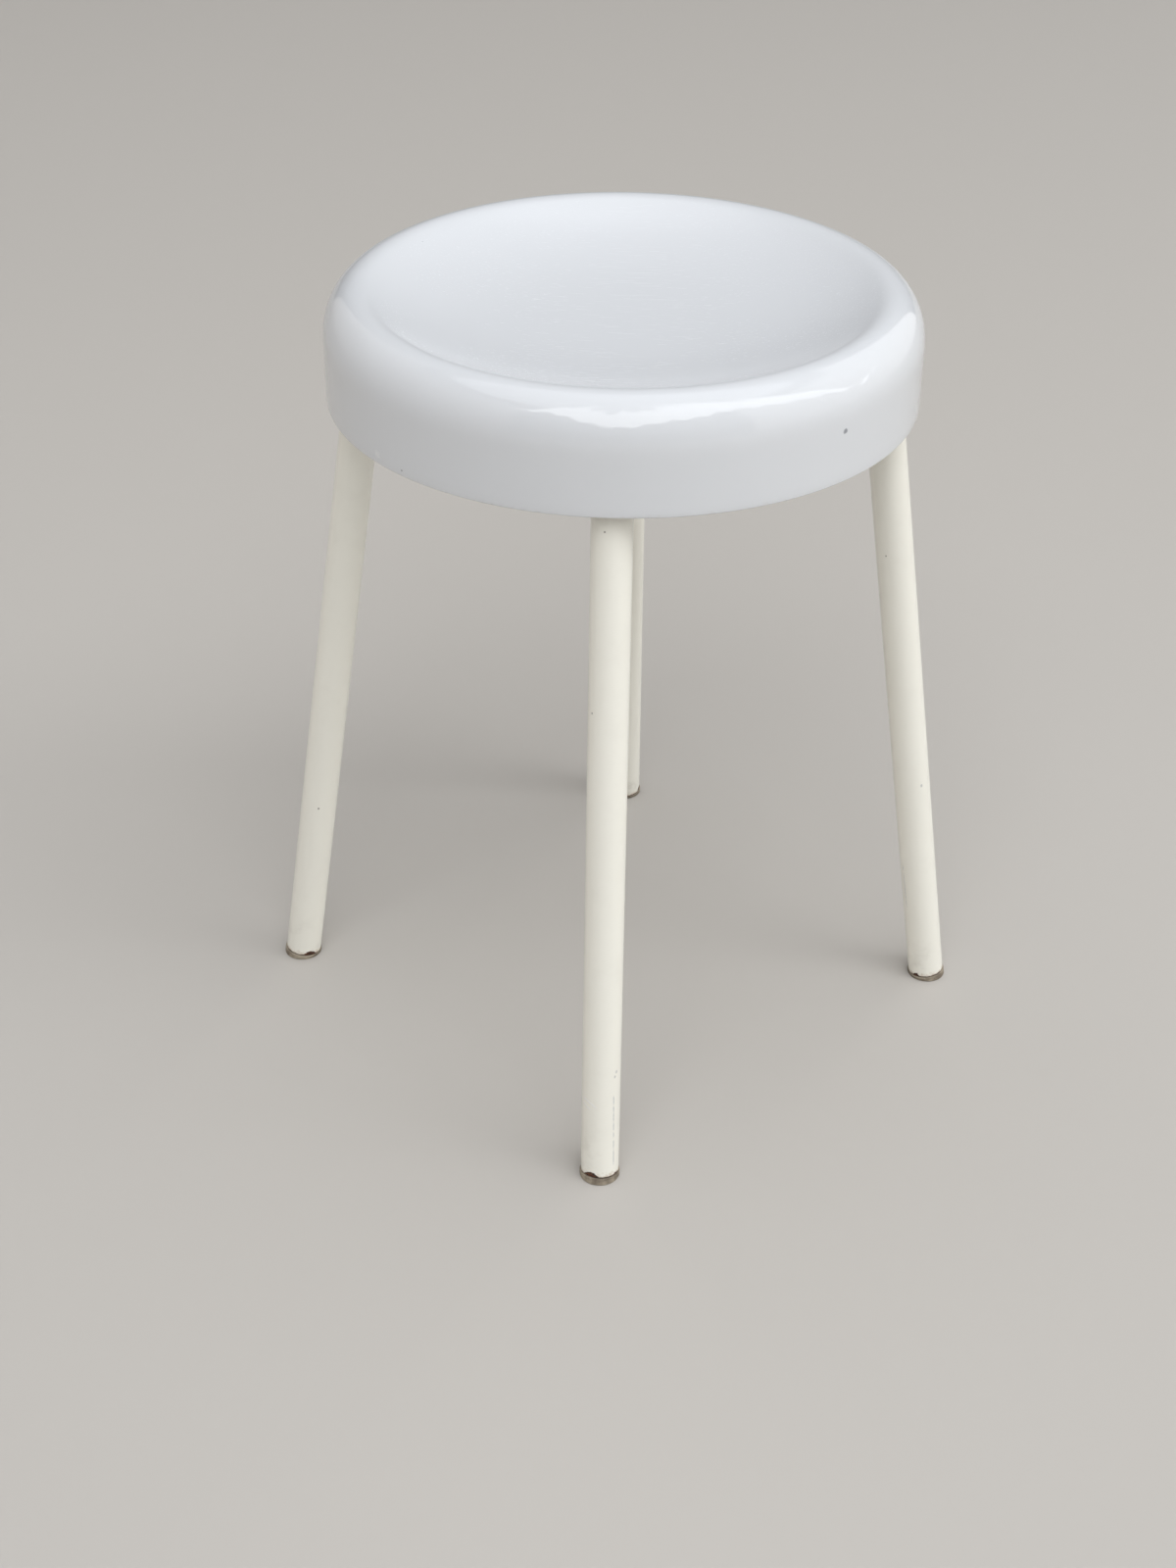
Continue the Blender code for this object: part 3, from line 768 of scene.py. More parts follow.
class StageSizes(bpy.types.PropertyGroup):
    """Floor, light and camera."""

    lens: FloatProperty(
        name="Lens", description="Focal length on a 36 mm sensor, in millimetres",
        default=54.07, min=10.0
    )
    floor_colour: FloatVectorProperty(
        name="Floor colour", description="Colour of the plain floor",
        default=(0.55, 0.525, 0.49), size=3, min=0.0, max=1.0, subtype="COLOR"
    )
    fill: FloatProperty(
        name="Fill", description="Brightness of the even light from all round",
        default=0.04, min=0.0
    )
    window: FloatProperty(
        name="Window", description="Brightness of the softbox that the rim's gloss shows",
        default=3.20, min=0.0
    )
    canopy: FloatProperty(
        name="Canopy", description="Brightness of the softbox overhead",
        default=1.02, min=0.0
    )
    right: FloatProperty(
        name="Right", description="Brightness of the wide panel on the right",
        default=0.92, min=0.0
    )
    left: FloatProperty(
        name="Left", description="Brightness of the wide panel on the left",
        default=0.42, min=0.0
    )


# ---- Seat ----
def bar_levels():
    """Heights of the under and upper faces of the upper bar's level middle."""
    bar = node_points("cross_bar_upper")
    reach = 0.3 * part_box("cross_bar_upper")[1].x
    middle = bar[np.abs(bar[:, 0]) < reach]
    return middle[:, 2].min(), middle[:, 2].max()


def seat_lines(sizes):
    """The seat's show face and inside, each a line from the axis to the skirt's edge, and its low end.

    The dish is bottom + a r^2 + b r^4, which meets the crest's circle in height and
    slope. An ellipse carries on from the crest to the upright skirt. The bends are
    then eased, and the inside lies one wall thickness square to the show face.
    """
    low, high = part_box("seat_shell")
    points = node_points("seat_shell")
    on_axis = points[np.hypot(points[:, 0], points[:, 1]) < MM / 10, 2]
    bottom, wall = on_axis.max(), on_axis.max() - on_axis.min()
    crest, slope = sizes.crest_round, sizes.inner_slope
    crest_r = high.x - sizes.roll_width
    join_r, join_z = crest_r - crest * sin(slope), high.z - crest * (1 - cos(slope))
    rise = join_z - bottom
    b = (tan(slope) * join_r / 2 - rise) / join_r**4
    a = (rise - b * join_r**4) / join_r**2
    r = np.linspace(0.0, join_r, 400)[:-1]
    dish = np.stack([r, bottom + a * r**2 + b * r**4], axis=1)
    top = arc((crest_r, high.z - crest), (crest, crest), 90 + np.degrees(slope), 90, 60)[:-1]
    roll_centre = (crest_r, high.z - sizes.roll_height)
    roll = arc(roll_centre, (sizes.roll_width, sizes.roll_height), 90, 0, 200)
    skirt = points_at((high.x, low.z + sizes.edge_round))
    show = eased(np.concatenate([dish, top, roll, skirt]), sizes.easing)
    show[:, 1] += high.z - show[:, 1].max()
    return show, beside(show, wall), low.z


def seat_mesh(sizes):
    """The shell turned from its outline, with the screw bosses joined on under the dish."""
    show, inside, low = seat_lines(sizes)
    edge = sizes.edge_round
    show[-1, 1] = inside[-1, 1] = low + edge
    lip = arc((show[-1, 0] - edge, low + edge), (edge, edge), 0, -90, 6)[1:]
    inner_lip = arc((inside[-1, 0] + edge / 2, low + edge / 2), (edge / 2, edge / 2), -90, -180, 4)
    rows = [spaced(show, 0.0045, radians(4.5)), lip, inner_lip, spaced(inside, 0.006, radians(6))[::-1]]
    shell = mesh_of("seat_shell", [turned(np.concatenate(rows), 240, Place((0, 0, 0), np.eye(3)))])
    bosses = []
    for leg in LEGS:
        for circle in CIRCLES:
            bosses.append(boss(sizes, inside, leg, circle))
    return joined(shell, mesh_of("bosses", bosses))


def boss(sizes, inside, leg, circle):
    """Patch of one screw boss: its foot, a side with a fillet that follows the dish, and its hole.

    A height t along the boss runs from its foot to the dish's underside above each
    point, so its top has the dish's slope. It ends inside the wall, where it is joined.
    """
    place, screw, _, shank = screw_sizes(leg, circle)
    foot = bar_levels()[1] + GAP
    hole = shank + GAP
    depth = screw.high + MM
    radius, fillet, chamfer = sizes.boss_radius, sizes.boss_fillet, 0.0004
    angle = np.arange(48) * 2 * pi / 48
    distance = np.linalg.norm(place.origin)

    def under(r):
        """Height of the dish's underside over points at a radius round the boss."""
        from_axis = np.hypot(distance + r * np.cos(angle), r * np.sin(angle))
        return np.interp(from_axis, inside[:, 0], inside[:, 1])

    rows = [(0.0, depth), (hole * 0.5, depth), (hole, depth - 0.0008), (hole, foot + chamfer)]
    rows += [(hole + chamfer, foot), (radius - chamfer, foot), (radius, foot + chamfer)]
    grid = list(rows)
    for turn in np.radians(np.linspace(0, 78, 7)):
        r = radius + fillet * (1 - cos(turn))
        grid.append((r, under(r) - fillet * (1 - sin(turn)) * 1.02))
    grid.append((radius + 0.7 * fillet, under(radius + 0.7 * fillet) + 0.0008))
    grid.append((0.0, under(0.0) + 0.0008))
    return place.world(np.stack([round_axis(r, angle, z) for r, z in grid])), True


def joined(mesh, added):
    """The union of two closed meshes, as one mesh."""
    target = bpy.data.objects.new("joining", mesh)
    helper = bpy.data.objects.new("joined_on", added)
    for obj in (target, helper):
        bpy.context.scene.collection.objects.link(obj)
    union = target.modifiers.new("union", "BOOLEAN")
    union.operation = "UNION"
    union.solver = "EXACT"
    union.object = helper
    graph = bpy.context.evaluated_depsgraph_get()
    whole = bpy.data.meshes.new_from_object(target.evaluated_get(graph))
    for obj in (target, helper):
        bpy.data.objects.remove(obj)
    whole.shade_smooth()
    whole.set_sharp_from_angle(angle=radians(35))
    return whole


# ---- Cross bars and rivet ----
class BarPath:
    """Middle line of a bar, from the stool's axis out along one arm.

    The line's slope is 0 but for the joggle, where it rises and falls again by a
    raised cosine whose height is found from the drop, and past the bend, where it
    turns to lie square to the leg. x and z are its running sums of cos and sin.
    """

    def __init__(self, leg, thickness, drop, joggle_middle, joggle_run):
        place = leg_place(leg)
        up = place.axes[:, 2]
        washer, nut = Span("spring_washer_" + leg, place), Span("weld_nut_" + leg, place)
        seat_on_leg = place.moved((washer.high + nut.low) / 2).origin
        self.lean = np.arccos(up[2])
        self.stud_x = np.hypot(*seat_on_leg[:2])
        level = bar_levels()[0] + thickness / 2
        bend = self.stud_x + (level - seat_on_leg[2]) / tan(self.lean)
        step, ease = 0.0002, 0.006
        self.s = np.arange(0.0, self.stud_x * 1.25, step)
        tilt = self.lean * (0.5 - 0.5 * np.cos(pi * np.clip((self.s - bend) / ease + 0.5, 0, 1)))
        bump = np.clip((self.s - joggle_middle) / (joggle_run * 1.5), -0.5, 0.5)
        self.slope = tilt
        for _ in range(4 if drop else 0):
            fallen = np.sum(np.sin(self.slope - tilt)) * step
            height = drop / (joggle_run * 0.75) if fallen == 0 else height * drop / fallen
            self.slope = tilt + height * (0.5 + 0.5 * np.cos(2 * pi * bump))
        self.x = np.cumsum(np.cos(self.slope)) * step
        self.z = level - drop + np.cumsum(np.sin(self.slope)) * step
        self.stud_s = np.interp(self.stud_x, self.x, self.s)

    def s_at(self, x):
        return np.interp(x, self.x, self.s)

    def bent(self, flat, height, turn):
        """Points of the flat strip, (distance along, across), carried along the line.

        height is square to the line. turn swaps the arm's direction from X to Y.
        """
        s, across = flat[..., 0], flat[..., 1]
        slope = np.interp(np.abs(s), self.s, self.slope) * np.sign(s)
        x = np.interp(np.abs(s), self.s, self.x) * np.sign(s) - height * np.sin(slope)
        z = np.interp(np.abs(s), self.s, self.z) + height * np.cos(slope)
        return np.stack([-across, x, z] if turn else [x, across, z], axis=-1)


def cell_border(start, end, half, round_end, corner, count):
    """Points round a cell of the strip, evenly along its four sides, starting at its near side.

    A point in a rounded corner is drawn in to the corner's circle along its own ray.
    """
    corners = [(start, half), (start, -half), (end, -half), (end, half), (start, half)]
    border = np.concatenate([np.linspace(a, b, count, endpoint=False) for a, b in zip(corners, corners[1:])])
    if round_end:
        outwards, side = np.sign(end - start), np.sign(border[:, 1])
        centre = np.stack([end - outwards * corner + 0 * side, side * (half - corner)], axis=1)
        ray = border - centre
        past = (ray[:, 0] * outwards > 0) & (ray[:, 1] * side > 0)
        length = np.maximum(np.hypot(*ray.T), 1e-9)[:, None]
        border = np.where(past[:, None], centre + ray * np.minimum(1, corner / length), border)
    return border


def bar_mesh(name, path, sizes, holes, half, thickness, reach, turn):
    """A bar from cells of a flat strip, each round one hole, with plain cells between.

    A holed cell's points run straight from the hole's circle to the cell's border.
    """
    count, rows = 10, 5
    patches = []
    heights = (thickness / 2, -thickness / 2)

    def wall(points, joined):
        patches.append((np.stack([path.bent(points, h, turn) for h in heights]), joined))

    limits = []
    for middle, radius in holes:
        room = min(HOLE_CELL, reach - abs(middle))
        start, end = middle - room, middle + room
        last = abs(middle) + room > reach - MM / 10
        if last and middle < 0:
            start, end = end, start
        limits.append((min(start, end), max(start, end)))
        border = cell_border(start, end, half, last, sizes.bar_corner, count)
        ray = border - (middle, 0)
        circle = (middle, 0) + radius * ray / np.hypot(*ray.T)[:, None]
        t = np.linspace(0, 1, rows)[:, None, None]
        cell = circle + (border - circle) * t
        for height in heights:
            patches.append((path.bent(cell, height, turn), True))
        wall(circle, True)
        closed = np.concatenate([border, border[:1]])
        for i in (1, 2, 3) if last else (1, 3):
            wall(closed[i * count : (i + 1) * count + 1], False)
    limits.sort()
    across = np.linspace(half, -half, count + 1)
    for (_, left), (right, _) in zip(limits, limits[1:]):
        steps = np.linspace(left, right, max(2, int((right - left) / 0.0015)))
        cell = np.stack(np.meshgrid(steps, across, indexing="ij"), axis=-1)
        for height in heights:
            patches.append((path.bent(cell, height, turn), False))
        wall(cell[:, 0], False)
        wall(cell[:, -1], False)
    return mesh_of(name, patches, 50.0)


def finished_bar(name, arms, drop, sizes):
    """One bar: its holes are found from the rivet, the screws and the studs that pass them."""
    turn = arms[0] in ("front", "rear")
    low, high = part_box(name)
    half = (high.x - low.x) / 2 if turn else (high.y - low.y) / 2
    far = high.y if turn else high.x
    under, upper = bar_levels()
    thickness = upper - under
    path = BarPath(arms[0], thickness, drop, half + sizes.joggle_run, sizes.joggle_run)
    reach = path.stud_s + (far - path.stud_x - thickness / 2 * sin(path.lean)) / cos(path.lean)
    rivet = Span("centre_rivet", upright_place("centre_rivet"))
    holes = [(0.0, rivet.smallest_at(upper + GAP) + HOLE_ROOM)]
    leg = leg_place(arms[0])
    stud = Span("leg_stud_" + arms[0], leg)
    for side in (-1, 1):
        holes.append((side * path.stud_s, stud.outer + HOLE_ROOM))
        for circle in CIRCLES:
            place, _, _, shank = screw_sizes(arms[0], circle)
            holes.append((side * path.s_at(np.hypot(*place.origin[:2])), shank + HOLE_ROOM))
    mesh = bar_mesh(name, path, sizes, holes, half, thickness, reach, turn)
    bar = add_piece("flat_bar_" + name.rsplit("_", 1)[1], mesh, zinc(), name)
    edge = bar.modifiers.new("edge", "BEVEL")
    edge.width = sizes.bar_edge
    edge.segments = 2
    edge.limit_method = "ANGLE"
    edge.angle_limit = radians(50)


def rivet_line(span, levels):
    """Outline of a rivet: shank, and at each end a low dome with a rounded edge."""
    low, high = levels
    shank = span.smallest_at(high)
    head, lift = span.outer, span.high - high
    upper = rounded([(shank, high), (head, high), (head, high + lift * 0.35)], [0.0002])
    dome = arc((0.0, high + lift * 0.35), (head, lift * 0.65), 0, 90, 12)[1:]
    lower = np.concatenate([upper, dome])[::-1] * (1, -1) + (0, low + high)
    return np.concatenate([lower, upper, dome])


# ---- Leg pieces ----
def tube_line(span, sizes):
    """Closed outline of the tube's wall, with its cut ends rounded."""
    edge = sizes.end_round
    run = np.linspace(span.low + 2 * edge, span.high - 2 * edge, 24)
    outside = np.stack([np.full(24, span.outer), run], axis=1)
    inside = np.stack([np.full(24, span.inner), run[::-1]], axis=1)
    top_corners = [outside[-1], (span.outer, span.high), (span.inner, span.high), inside[0]]
    top = rounded(top_corners, [edge, edge / 2])
    foot = rounded([inside[-1], (span.inner, span.low), (span.outer, span.low), outside[0]], [edge / 2, edge])
    return np.concatenate([outside, top[1:-1], inside, foot[1:]])


def ring_line(span, edge):
    """Closed outline of a ring with its four edges rounded."""
    middle = (span.inner + span.outer) / 2
    corners = [(middle, span.low), (span.outer, span.low), (span.outer, span.high)]
    corners += [(span.inner, span.high), (span.inner, span.low), (middle, span.low)]
    return rounded(corners, [edge] * 4, 4)


def glide_patch(place, span, tube, sizes):
    """The glide: a flange cut level with the floor, and a ribbed stem inside the tube.

    Points below the flange's top are measured up from the floor, whose height in the
    leg's own axes falls with the distance out: -r cos(a) tan(lean).
    """
    lean = np.arccos(place.axes[2, 2])
    lip, stem = span.outer, tube.inner - GAP
    top, edge, rib = tube.low - GAP, sizes.flange_round, 0.00045
    foot = rounded([(0.0, 0.0), (lip, 0.0), (lip, 3 * edge)], [edge * 1.4], 6)
    flange_corners = [(lip, top - 0.0010), (lip, top), (stem - rib, top), (stem - rib, top + 0.002)]
    flange = rounded(flange_corners, [edge * 0.7, 0.0001], 4)
    turns = np.linspace(0, 1, 60)
    ribs = np.abs(np.sin(turns * 6 * pi)) ** 0.7
    height = top + 0.002 + turns * (span.high - 0.0012 - top - 0.002)
    shaft = np.stack([stem - rib * (1 - ribs), height], axis=1)
    tip = rounded([shaft[-1], (shaft[-1, 0] - 0.0008, span.high), (0.0, span.high)], [0.0004], 4)
    floor_rows = np.arange(len(foot) + len(flange) + len(shaft) + len(tip) - 1) < len(foot)
    line = np.concatenate([foot, flange, shaft, tip[1:]])

    def level(r, angle):
        return np.where(floor_rows[:, None], -r * np.cos(angle) * tan(lean), 0.0)

    return turned(line, 72, place, level)


def split_ring(place, span):
    """Spring washer: a rounded square carried most of the way round the stud.

    The section's middle climbs with the angle, by a small share of its thickness,
    from one end of the cut to the other.
    """
    gap_angle, rise = 14.0, 0.12
    width, tall = span.outer - span.inner, span.high - span.low
    middle_r, middle_z = (span.inner + span.outer) / 2, (span.low + span.high) / 2
    lift = rise * tall
    half_r, half_z = width / 2, (tall - lift) / 2
    corners = [(0, -half_z), (half_r, -half_z), (half_r, half_z)]
    corners += [(-half_r, half_z), (-half_r, -half_z), (0, -half_z)]
    section = rounded(corners, [0.0003] * 4, 4)[:-1]
    angle = np.radians(np.linspace(gap_angle / 2, 360 - gap_angle / 2, 72))[:, None]
    climb = lift * (angle / (2 * pi) - 0.5)
    r = middle_r + section[:, 0] + 0 * angle
    z = middle_z + section[:, 1] + climb
    ring = round_axis(r, angle, z)
    ends = ring[[0, -1]].mean(axis=1, keepdims=True) + np.zeros((1, len(section), 1))
    return place.world(np.concatenate([ends[:1], ring, ends[1:]])), True


def nut_patch(place, span, stud_radius):
    """Hexagonal nut: flat / cos(a) for the hexagon, its corners under a 30 degree cone.

    The hexagon's radius at angle a is flat / cos(a to the nearest flat's middle).
    Where that passes the cone's start, both faces fall away by tan 30 of the excess.
    """
    sides = 96
    angle = np.arange(sides) * 2 * pi / sides
    corner = span.outer
    flat = corner * cos(pi / 6)
    nearest = (angle + pi / 6) % (pi / 3) - pi / 6
    hexagon = flat / np.cos(pi / 6 - np.abs(nearest))
    start = flat * 0.955
    fall = np.maximum(hexagon - start, 0) * tan(radians(30))
    bore, lead = stud_radius + GAP / 2, 0.0005
    low, high = span.low, span.high
    rows = [(bore, low + lead), (bore + lead, low), (start, low), (hexagon, low + fall * 0.4)]
    rows += [(hexagon, high - fall), (start, high), (bore + lead, high), (bore, high - lead)]
    rows.append((bore, low + lead))
    return place.world(np.stack([round_axis(r, angle, z) for r, z in rows])), True


def leg_fixings(leg, sizes):
    """Meshes of a leg's plug, spring washer, stud and weld nut, by node name."""
    place = leg_place(leg)
    spans = {}
    for kind in ("leg_plug", "spring_washer", "leg_stud", "weld_nut"):
        spans[kind] = Span(f"{kind}_{leg}", place)
    stud = spans["leg_stud"]
    thread = threaded(stud.outer, 0.00085, sizes.stud_pitch, stud.low, stud.high, place, False, 36)
    return {
        "leg_plug": [turned(ring_line(spans["leg_plug"], 0.0005), 64, place)],
        "spring_washer": [split_ring(place, spans["spring_washer"])],
        "leg_stud": [thread],
        "weld_nut": [nut_patch(place, spans["weld_nut"], stud.outer)],
    }


# ---- Seat screws ----
def screw_patches(leg, circle, sizes):
    """A pan-head screw: a domed head with a cross recess, and a threaded shank.

    The head's face is a quarter ellipse over its edge. The recess is a cross: at a
    point whose nearer and farther distances from the cross's middle lines are p and
    q, its depth falls with p past a slot's side, and with q out to the arm's end.
    """
    place, span, top, neck = screw_sizes(leg, circle)
    tall, radius = top - span.low, span.outer
    flat, slot, arm = radius * 0.62, 0.00050, radius * 0.62
    sides = 72
    angle = np.arange(sides) * 2 * pi / sides
    over_edge = np.sin(np.linspace(0.1, 1, 8) * pi / 2)
    r = np.concatenate([np.linspace(0, flat, 15), flat + (radius - flat) * over_edge])[:, None]
    edge = np.clip((r - flat) / (radius - flat), 0, 1)
    face = tall * 0.85 * (1 - np.sqrt(1 - edge**2))
    turned_to = angle - 0.4 - 0.7 * LEGS.index(leg) - 1.3 * CIRCLES.index(circle)
    p, q = np.abs(r * np.sin(turned_to)), np.abs(r * np.cos(turned_to))
    near, far = np.minimum(p, q), np.maximum(p, q)
    cross = np.clip((slot - near) / 0.0004 + 1, 0, 1) * np.clip((arm - far) / (arm * 0.6), 0, 1)
    under = points_at((radius, top - 0.0002), (radius - 0.0002, top), (0.0, top))
    r = np.concatenate([r, under[:, :1]])
    z = np.concatenate([span.low + face + sizes.recess * cross, under[:, 1:] + 0 * angle])
    head = round_axis(r, angle, z)
    shank = threaded(neck, neck * 0.24, sizes.screw_pitch, top, span.high, place, True, 28)
    return [(place.world(head), True), shank]


# ---- Operators ----
def zinc():
    return shared_material("zinc_plating", zinc_steel)


def add_fixing(name, patches, node):
    """A small zinc-plated piece made from its patches."""
    add_piece(name, mesh_of(name, patches), zinc(), node)


class MakeSeat(bpy.types.Operator):
    """Make the white seat moulding"""

    bl_idname = "stool.make_seat"
    bl_label = "Seat"

    def execute(self, context):
        sizes = context.scene.stool_seat
        material = shared_material("moulded_plastic", seat_plastic, sizes)
        add_piece("seat_moulding", seat_mesh(sizes), material, "seat_shell")
        return {"FINISHED"}


class MakeBars(bpy.types.Operator):
    """Make the two crossed flat bars and the rivet that joins them"""

    bl_idname = "stool.make_bars"
    bl_label = "Cross bars"

    def execute(self, context):
        sizes = context.scene.stool_fixings
        lower = node_points("cross_bar_lower")
        middle = lower[np.abs(lower[:, 1]) < MM * 12, 2]
        drop = bar_levels()[0] - middle.min()
        finished_bar("cross_bar_upper", ("right", "left"), 0.0, sizes)
        finished_bar("cross_bar_lower", ("front", "rear"), drop, sizes)
        place = upright_place("centre_rivet")
        span = Span("centre_rivet", place)
        levels = (middle.min() - GAP, bar_levels()[1] + GAP)
        add_fixing("middle_rivet", [turned(rivet_line(span, levels), 64, place)], "centre_rivet")
        return {"FINISHED"}


class MakeTubes(bpy.types.Operator):
    """Make the four enamelled leg tubes"""

    bl_idname = "stool.make_tubes"
    bl_label = "Leg tubes"

    def execute(self, context):
        sizes = context.scene.stool_legs
        for leg in LEGS:
            place = leg_place(leg)
            line = tube_line(Span("leg_tube_" + leg, place), sizes)
            material = shared_material("leg_enamel_" + leg, leg_enamel, leg, sizes)
            mesh = mesh_of("tube_" + leg, [turned(line, 96, place)])
            add_piece("tube_" + leg, mesh, material, "leg_tube_" + leg)
        return {"FINISHED"}


class MakeGlides(bpy.types.Operator):
    """Make the four worn glides under the legs"""

    bl_idname = "stool.make_glides"
    bl_label = "Foot glides"

    def execute(self, context):
        sizes = context.scene.stool_legs
        for leg in LEGS:
            place = leg_place(leg)
            span, tube = Span("foot_glide_" + leg, place), Span("leg_tube_" + leg, place)
            material = shared_material("glide_plastic_" + leg, glide_plastic, leg)
            mesh = mesh_of("glide_" + leg, [glide_patch(place, span, tube, sizes)])
            add_piece("glide_" + leg, mesh, material, "foot_glide_" + leg)
        return {"FINISHED"}


class MakeLegFixings(bpy.types.Operator):
    """Make each leg's plug, spring washer, stud and weld nut"""

    bl_idname = "stool.make_leg_fixings"
    bl_label = "Leg fixings"

    def execute(self, context):
        for leg in LEGS:
            for kind, patches in leg_fixings(leg, context.scene.stool_fixings).items():
                name = f"{kind.split('_')[-1]}_{kind.split('_')[0]}_{leg}"
                add_fixing(name, patches, f"{kind}_{leg}")
        return {"FINISHED"}


class MakeSeatScrews(bpy.types.Operator):
    """Make the eight screws that hold the seat to the bars, and their washers"""

    bl_idname = "stool.make_seat_screws"
    bl_label = "Seat screws"

    def execute(self, context):
        sizes = context.scene.stool_fixings
        for leg in LEGS:
            for circle in CIRCLES:
                end = f"{leg}_{circle}"
                add_fixing("screw_" + end, screw_patches(leg, circle, sizes), "seat_screw_" + end)
                place = upright_place("seat_washer_" + end)
                line = ring_line(Span("seat_washer_" + end, place), 0.0002)
                add_fixing("washer_" + end, [turned(line, 64, place)], "seat_washer_" + end)
        return {"FINISHED"}


# ---- Stage ----
EYE = (0.03525, -1.22818, 0.93518)
TURN = -0.04289  # to the right of +Y, in radians
TILT = 0.57619  # below the horizon
ROLL = 0.00879


def camera_axes():
    """Matrix of the camera's right, up and back directions at its place."""
    ahead = np.array([sin(TURN) * cos(TILT), cos(TURN) * cos(TILT), -sin(TILT)])
    level = unit(np.cross(ahead, (0, 0, 1)))
    upright = np.cross(level, ahead)
    right = cos(ROLL) * level + sin(ROLL) * upright
    matrix = np.eye(4)
    matrix[:3, :4] = np.stack([right, np.cross(right, ahead), -ahead, EYE], axis=1)
    return Matrix(matrix.tolist())


def window_patch(start, end, distance):
    """Bright uneven strip in front and to the right, which the rim's gloss shows: part of a sphere.

    Azimuth 0 is in front, and 90 to the right. Its lower edge is 44 degrees up, less
    dips of depth * exp(-((azimuth - middle) / width)^2), with a sum of sines on top.
    It is 32 degrees tall as far as azimuth 78, and then a thin tail. Its upper edge is
    stepped: floor(sine) gives blocks like a skyline's.
    """
    azimuth = np.linspace(start, end, 320)
    low = 44 + 2.5 * np.sin(np.radians(9 * azimuth)) + 2.0 * np.sin(np.radians(34 * azimuth + 60))
    for middle, width, depth in ((3, 17, 17), (98, 22, 29)):
        low -= depth * np.exp(-(((azimuth - middle) / width) ** 2))
    tall = 5 + 27 * np.clip((azimuth - start) / 30, 0, 1) * np.clip((90 - azimuth) / 12, 0, 1)
    steps = np.floor(1.5 * np.sin(np.radians(13 * azimuth + 40)) + 1.5 * np.sin(np.radians(29 * azimuth)))
    tall = np.maximum(tall + 2.4 * steps, 0.5)
    ends = np.clip((azimuth - start) / 8, 0, 1) * np.clip((end - azimuth) / 10, 0, 1)
    share = np.linspace(0, 1, 3)[:, None]
    return sphere_points(azimuth, low + (1 - share) * tall * ends, distance), False


def panel_patch(start, end, low, high, distance):
    """Part of a sphere round the stool, between two azimuths and two elevations."""
    azimuth = np.linspace(start, end, 40)
    return sphere_points(azimuth, np.linspace(low, high, 16)[:, None], distance), False


def sphere_points(azimuth, elevation, distance):
    """Points at directions in degrees: azimuth 0 is along -Y, and 90 along +X."""
    turn, rise = np.radians(azimuth) + 0 * elevation, np.radians(elevation) + 0 * azimuth
    level = np.cos(rise)
    return distance * np.stack([np.sin(turn) * level, -np.cos(turn) * level, np.sin(rise)], axis=-1)


def add_softbox(name, patch, strength, colour):
    """A shining surface that the camera doesn't see."""
    mesh = mesh_of(name, [patch])
    shining = {"Base_Color": (0, 0, 0, 1), "Emission_Color": (*colour, 1), "Emission_Strength": strength}
    mesh.materials.append(Finish(name, **shining).material)
    softbox = bpy.data.objects.new(name, mesh)
    bpy.context.scene.collection.objects.link(softbox)
    softbox.visible_camera = False
    softbox.visible_shadow = False


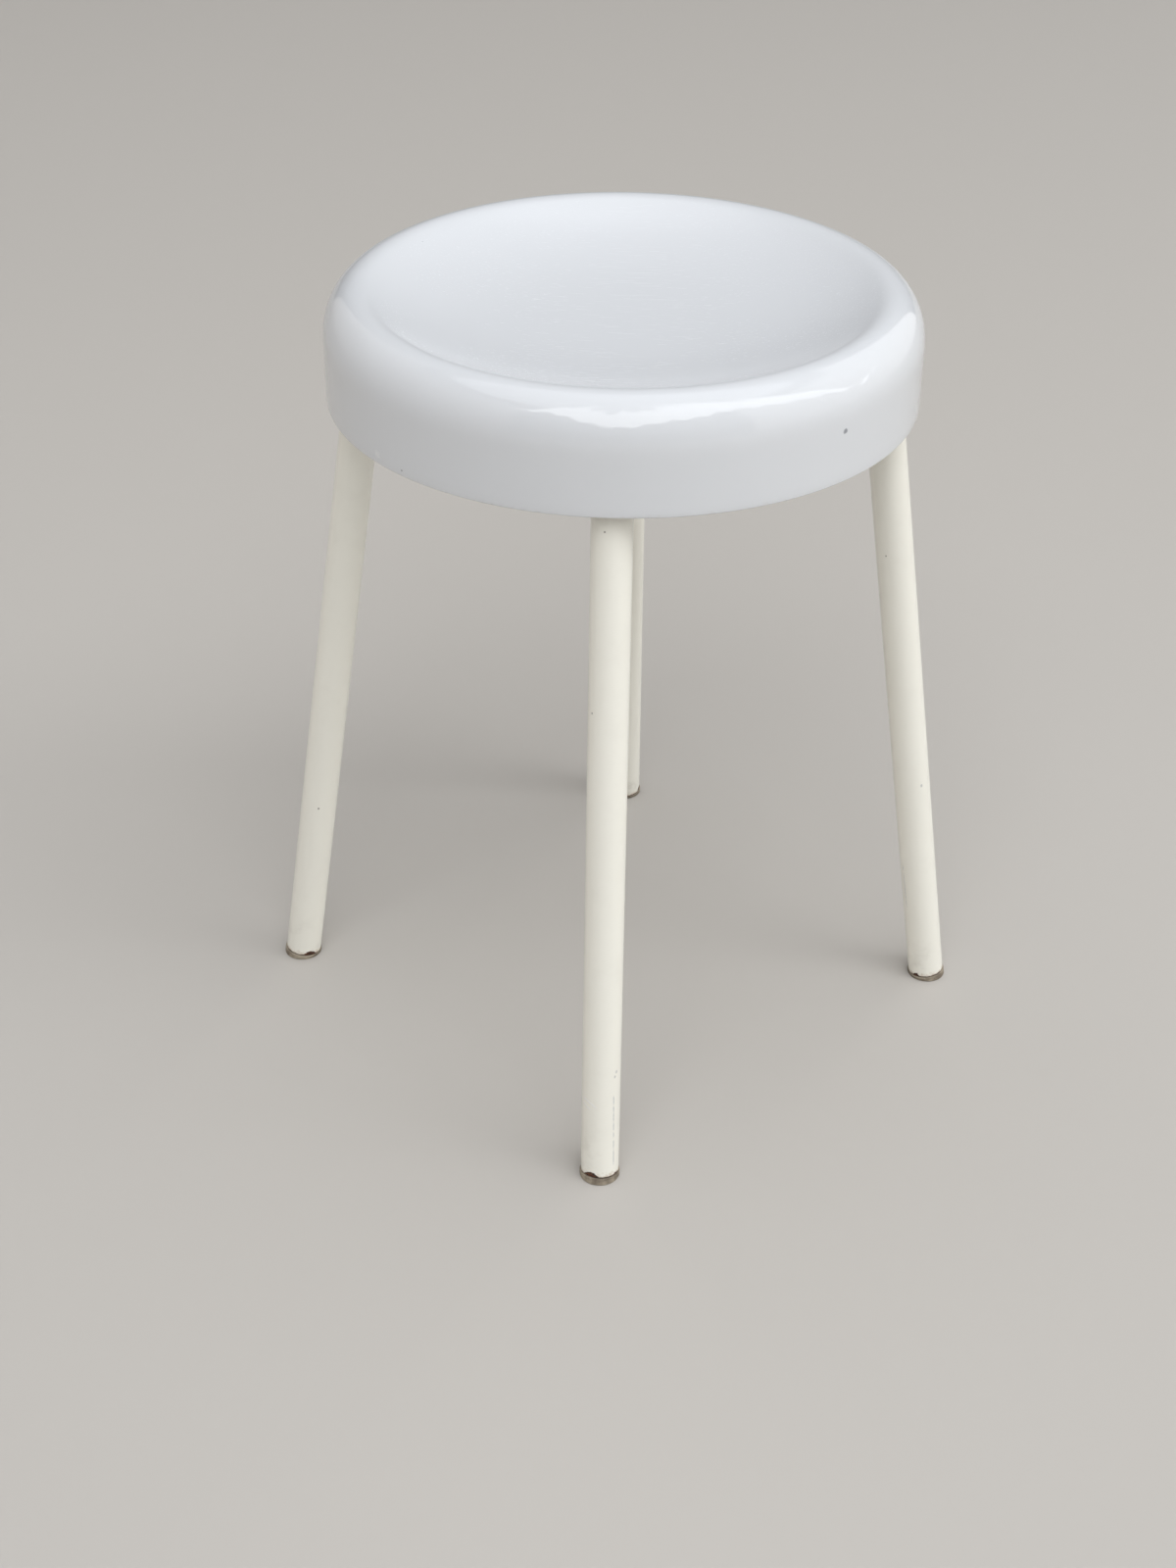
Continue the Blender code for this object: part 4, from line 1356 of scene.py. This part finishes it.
class MakeStage(bpy.types.Operator):
    """Make the plain floor, the soft lights and the camera"""

    bl_idname = "stool.make_stage"
    bl_label = "Stage"

    def execute(self, context):
        sizes = context.scene.stool_stage
        scene = context.scene
        floor = bpy.data.meshes.new("floor")
        side, level = 20.0, -MM / 10
        corners = [(-side, -side, level), (side, -side, level), (side, side, level), (-side, side, level)]
        floor.from_pydata(corners, [], [(0, 1, 2, 3)])
        paint = Finish("floor_paint", Base_Color=(*sizes.floor_colour, 1), Roughness=0.85)
        floor.materials.append(paint.material)
        ground = bpy.data.objects.new("floor", floor)
        scene.collection.objects.link(ground)

        add_softbox("window", window_patch(-46, 114, 8.5), sizes.window, (0.975, 0.99, 1.01))
        add_softbox("canopy", panel_patch(-180, 180, 57, 90, 9.0), sizes.canopy, (0.96, 0.985, 1.03))
        add_softbox("right_panel", panel_patch(50, 150, 0, 50, 9.5), sizes.right, (1.0, 0.985, 0.955))
        add_softbox("left_panel", panel_patch(-150, -40, 0, 50, 9.5), sizes.left, (1.0, 0.93, 0.85))

        world = bpy.data.worlds.new("even_light")
        world.use_nodes = True
        sky = world.node_tree.nodes["Background"]
        sky.inputs["Color"].default_value = (1.0, 0.95, 0.89, 1)
        sky.inputs["Strength"].default_value = sizes.fill
        scene.world = world

        camera = bpy.data.cameras.new("camera")
        camera.sensor_width = 36
        camera.lens = sizes.lens
        eye = bpy.data.objects.new("camera", camera)
        eye.matrix_world = camera_axes()
        scene.collection.objects.link(eye)
        scene.camera = eye
        scene.view_settings.view_transform = "Standard"
        return {"FINISHED"}


# ---- Panel and registration ----
MAKERS = (MakeStage, MakeSeat, MakeBars, MakeTubes, MakeGlides, MakeLegFixings, MakeSeatScrews)
GROUPS = {
    "stool_seat": SeatSizes,
    "stool_legs": LegSizes,
    "stool_fixings": FixingSizes,
    "stool_stage": StageSizes,
}


class StoolPanel(bpy.types.Panel):
    """Sizes, colours and makers of the stool's pieces"""

    bl_idname = "VIEW3D_PT_stool"
    bl_label = "Shower stool"
    bl_space_type = "VIEW_3D"
    bl_region_type = "UI"
    bl_category = "Stool"

    def draw(self, context):
        for group in GROUPS:
            box = self.layout.box()
            sizes = getattr(context.scene, group)
            for name in sizes.bl_rna.properties.keys():
                if name not in ("rna_type", "name"):
                    box.prop(sizes, name)
        for maker in MAKERS:
            self.layout.operator(maker.bl_idname)


def register():
    for group, kind in GROUPS.items():
        bpy.utils.register_class(kind)
        setattr(bpy.types.Scene, group, PointerProperty(type=kind))
    for kind in (*MAKERS, StoolPanel):
        bpy.utils.register_class(kind)


def unregister():
    for kind in (StoolPanel, *reversed(MAKERS)):
        bpy.utils.unregister_class(kind)
    for group, kind in GROUPS.items():
        delattr(bpy.types.Scene, group)
        bpy.utils.unregister_class(kind)


def main():
    register()
    for maker in MAKERS:
        group, name = maker.bl_idname.split(".")
        getattr(getattr(bpy.ops, group), name)()


if __name__ == "__main__":
    main()
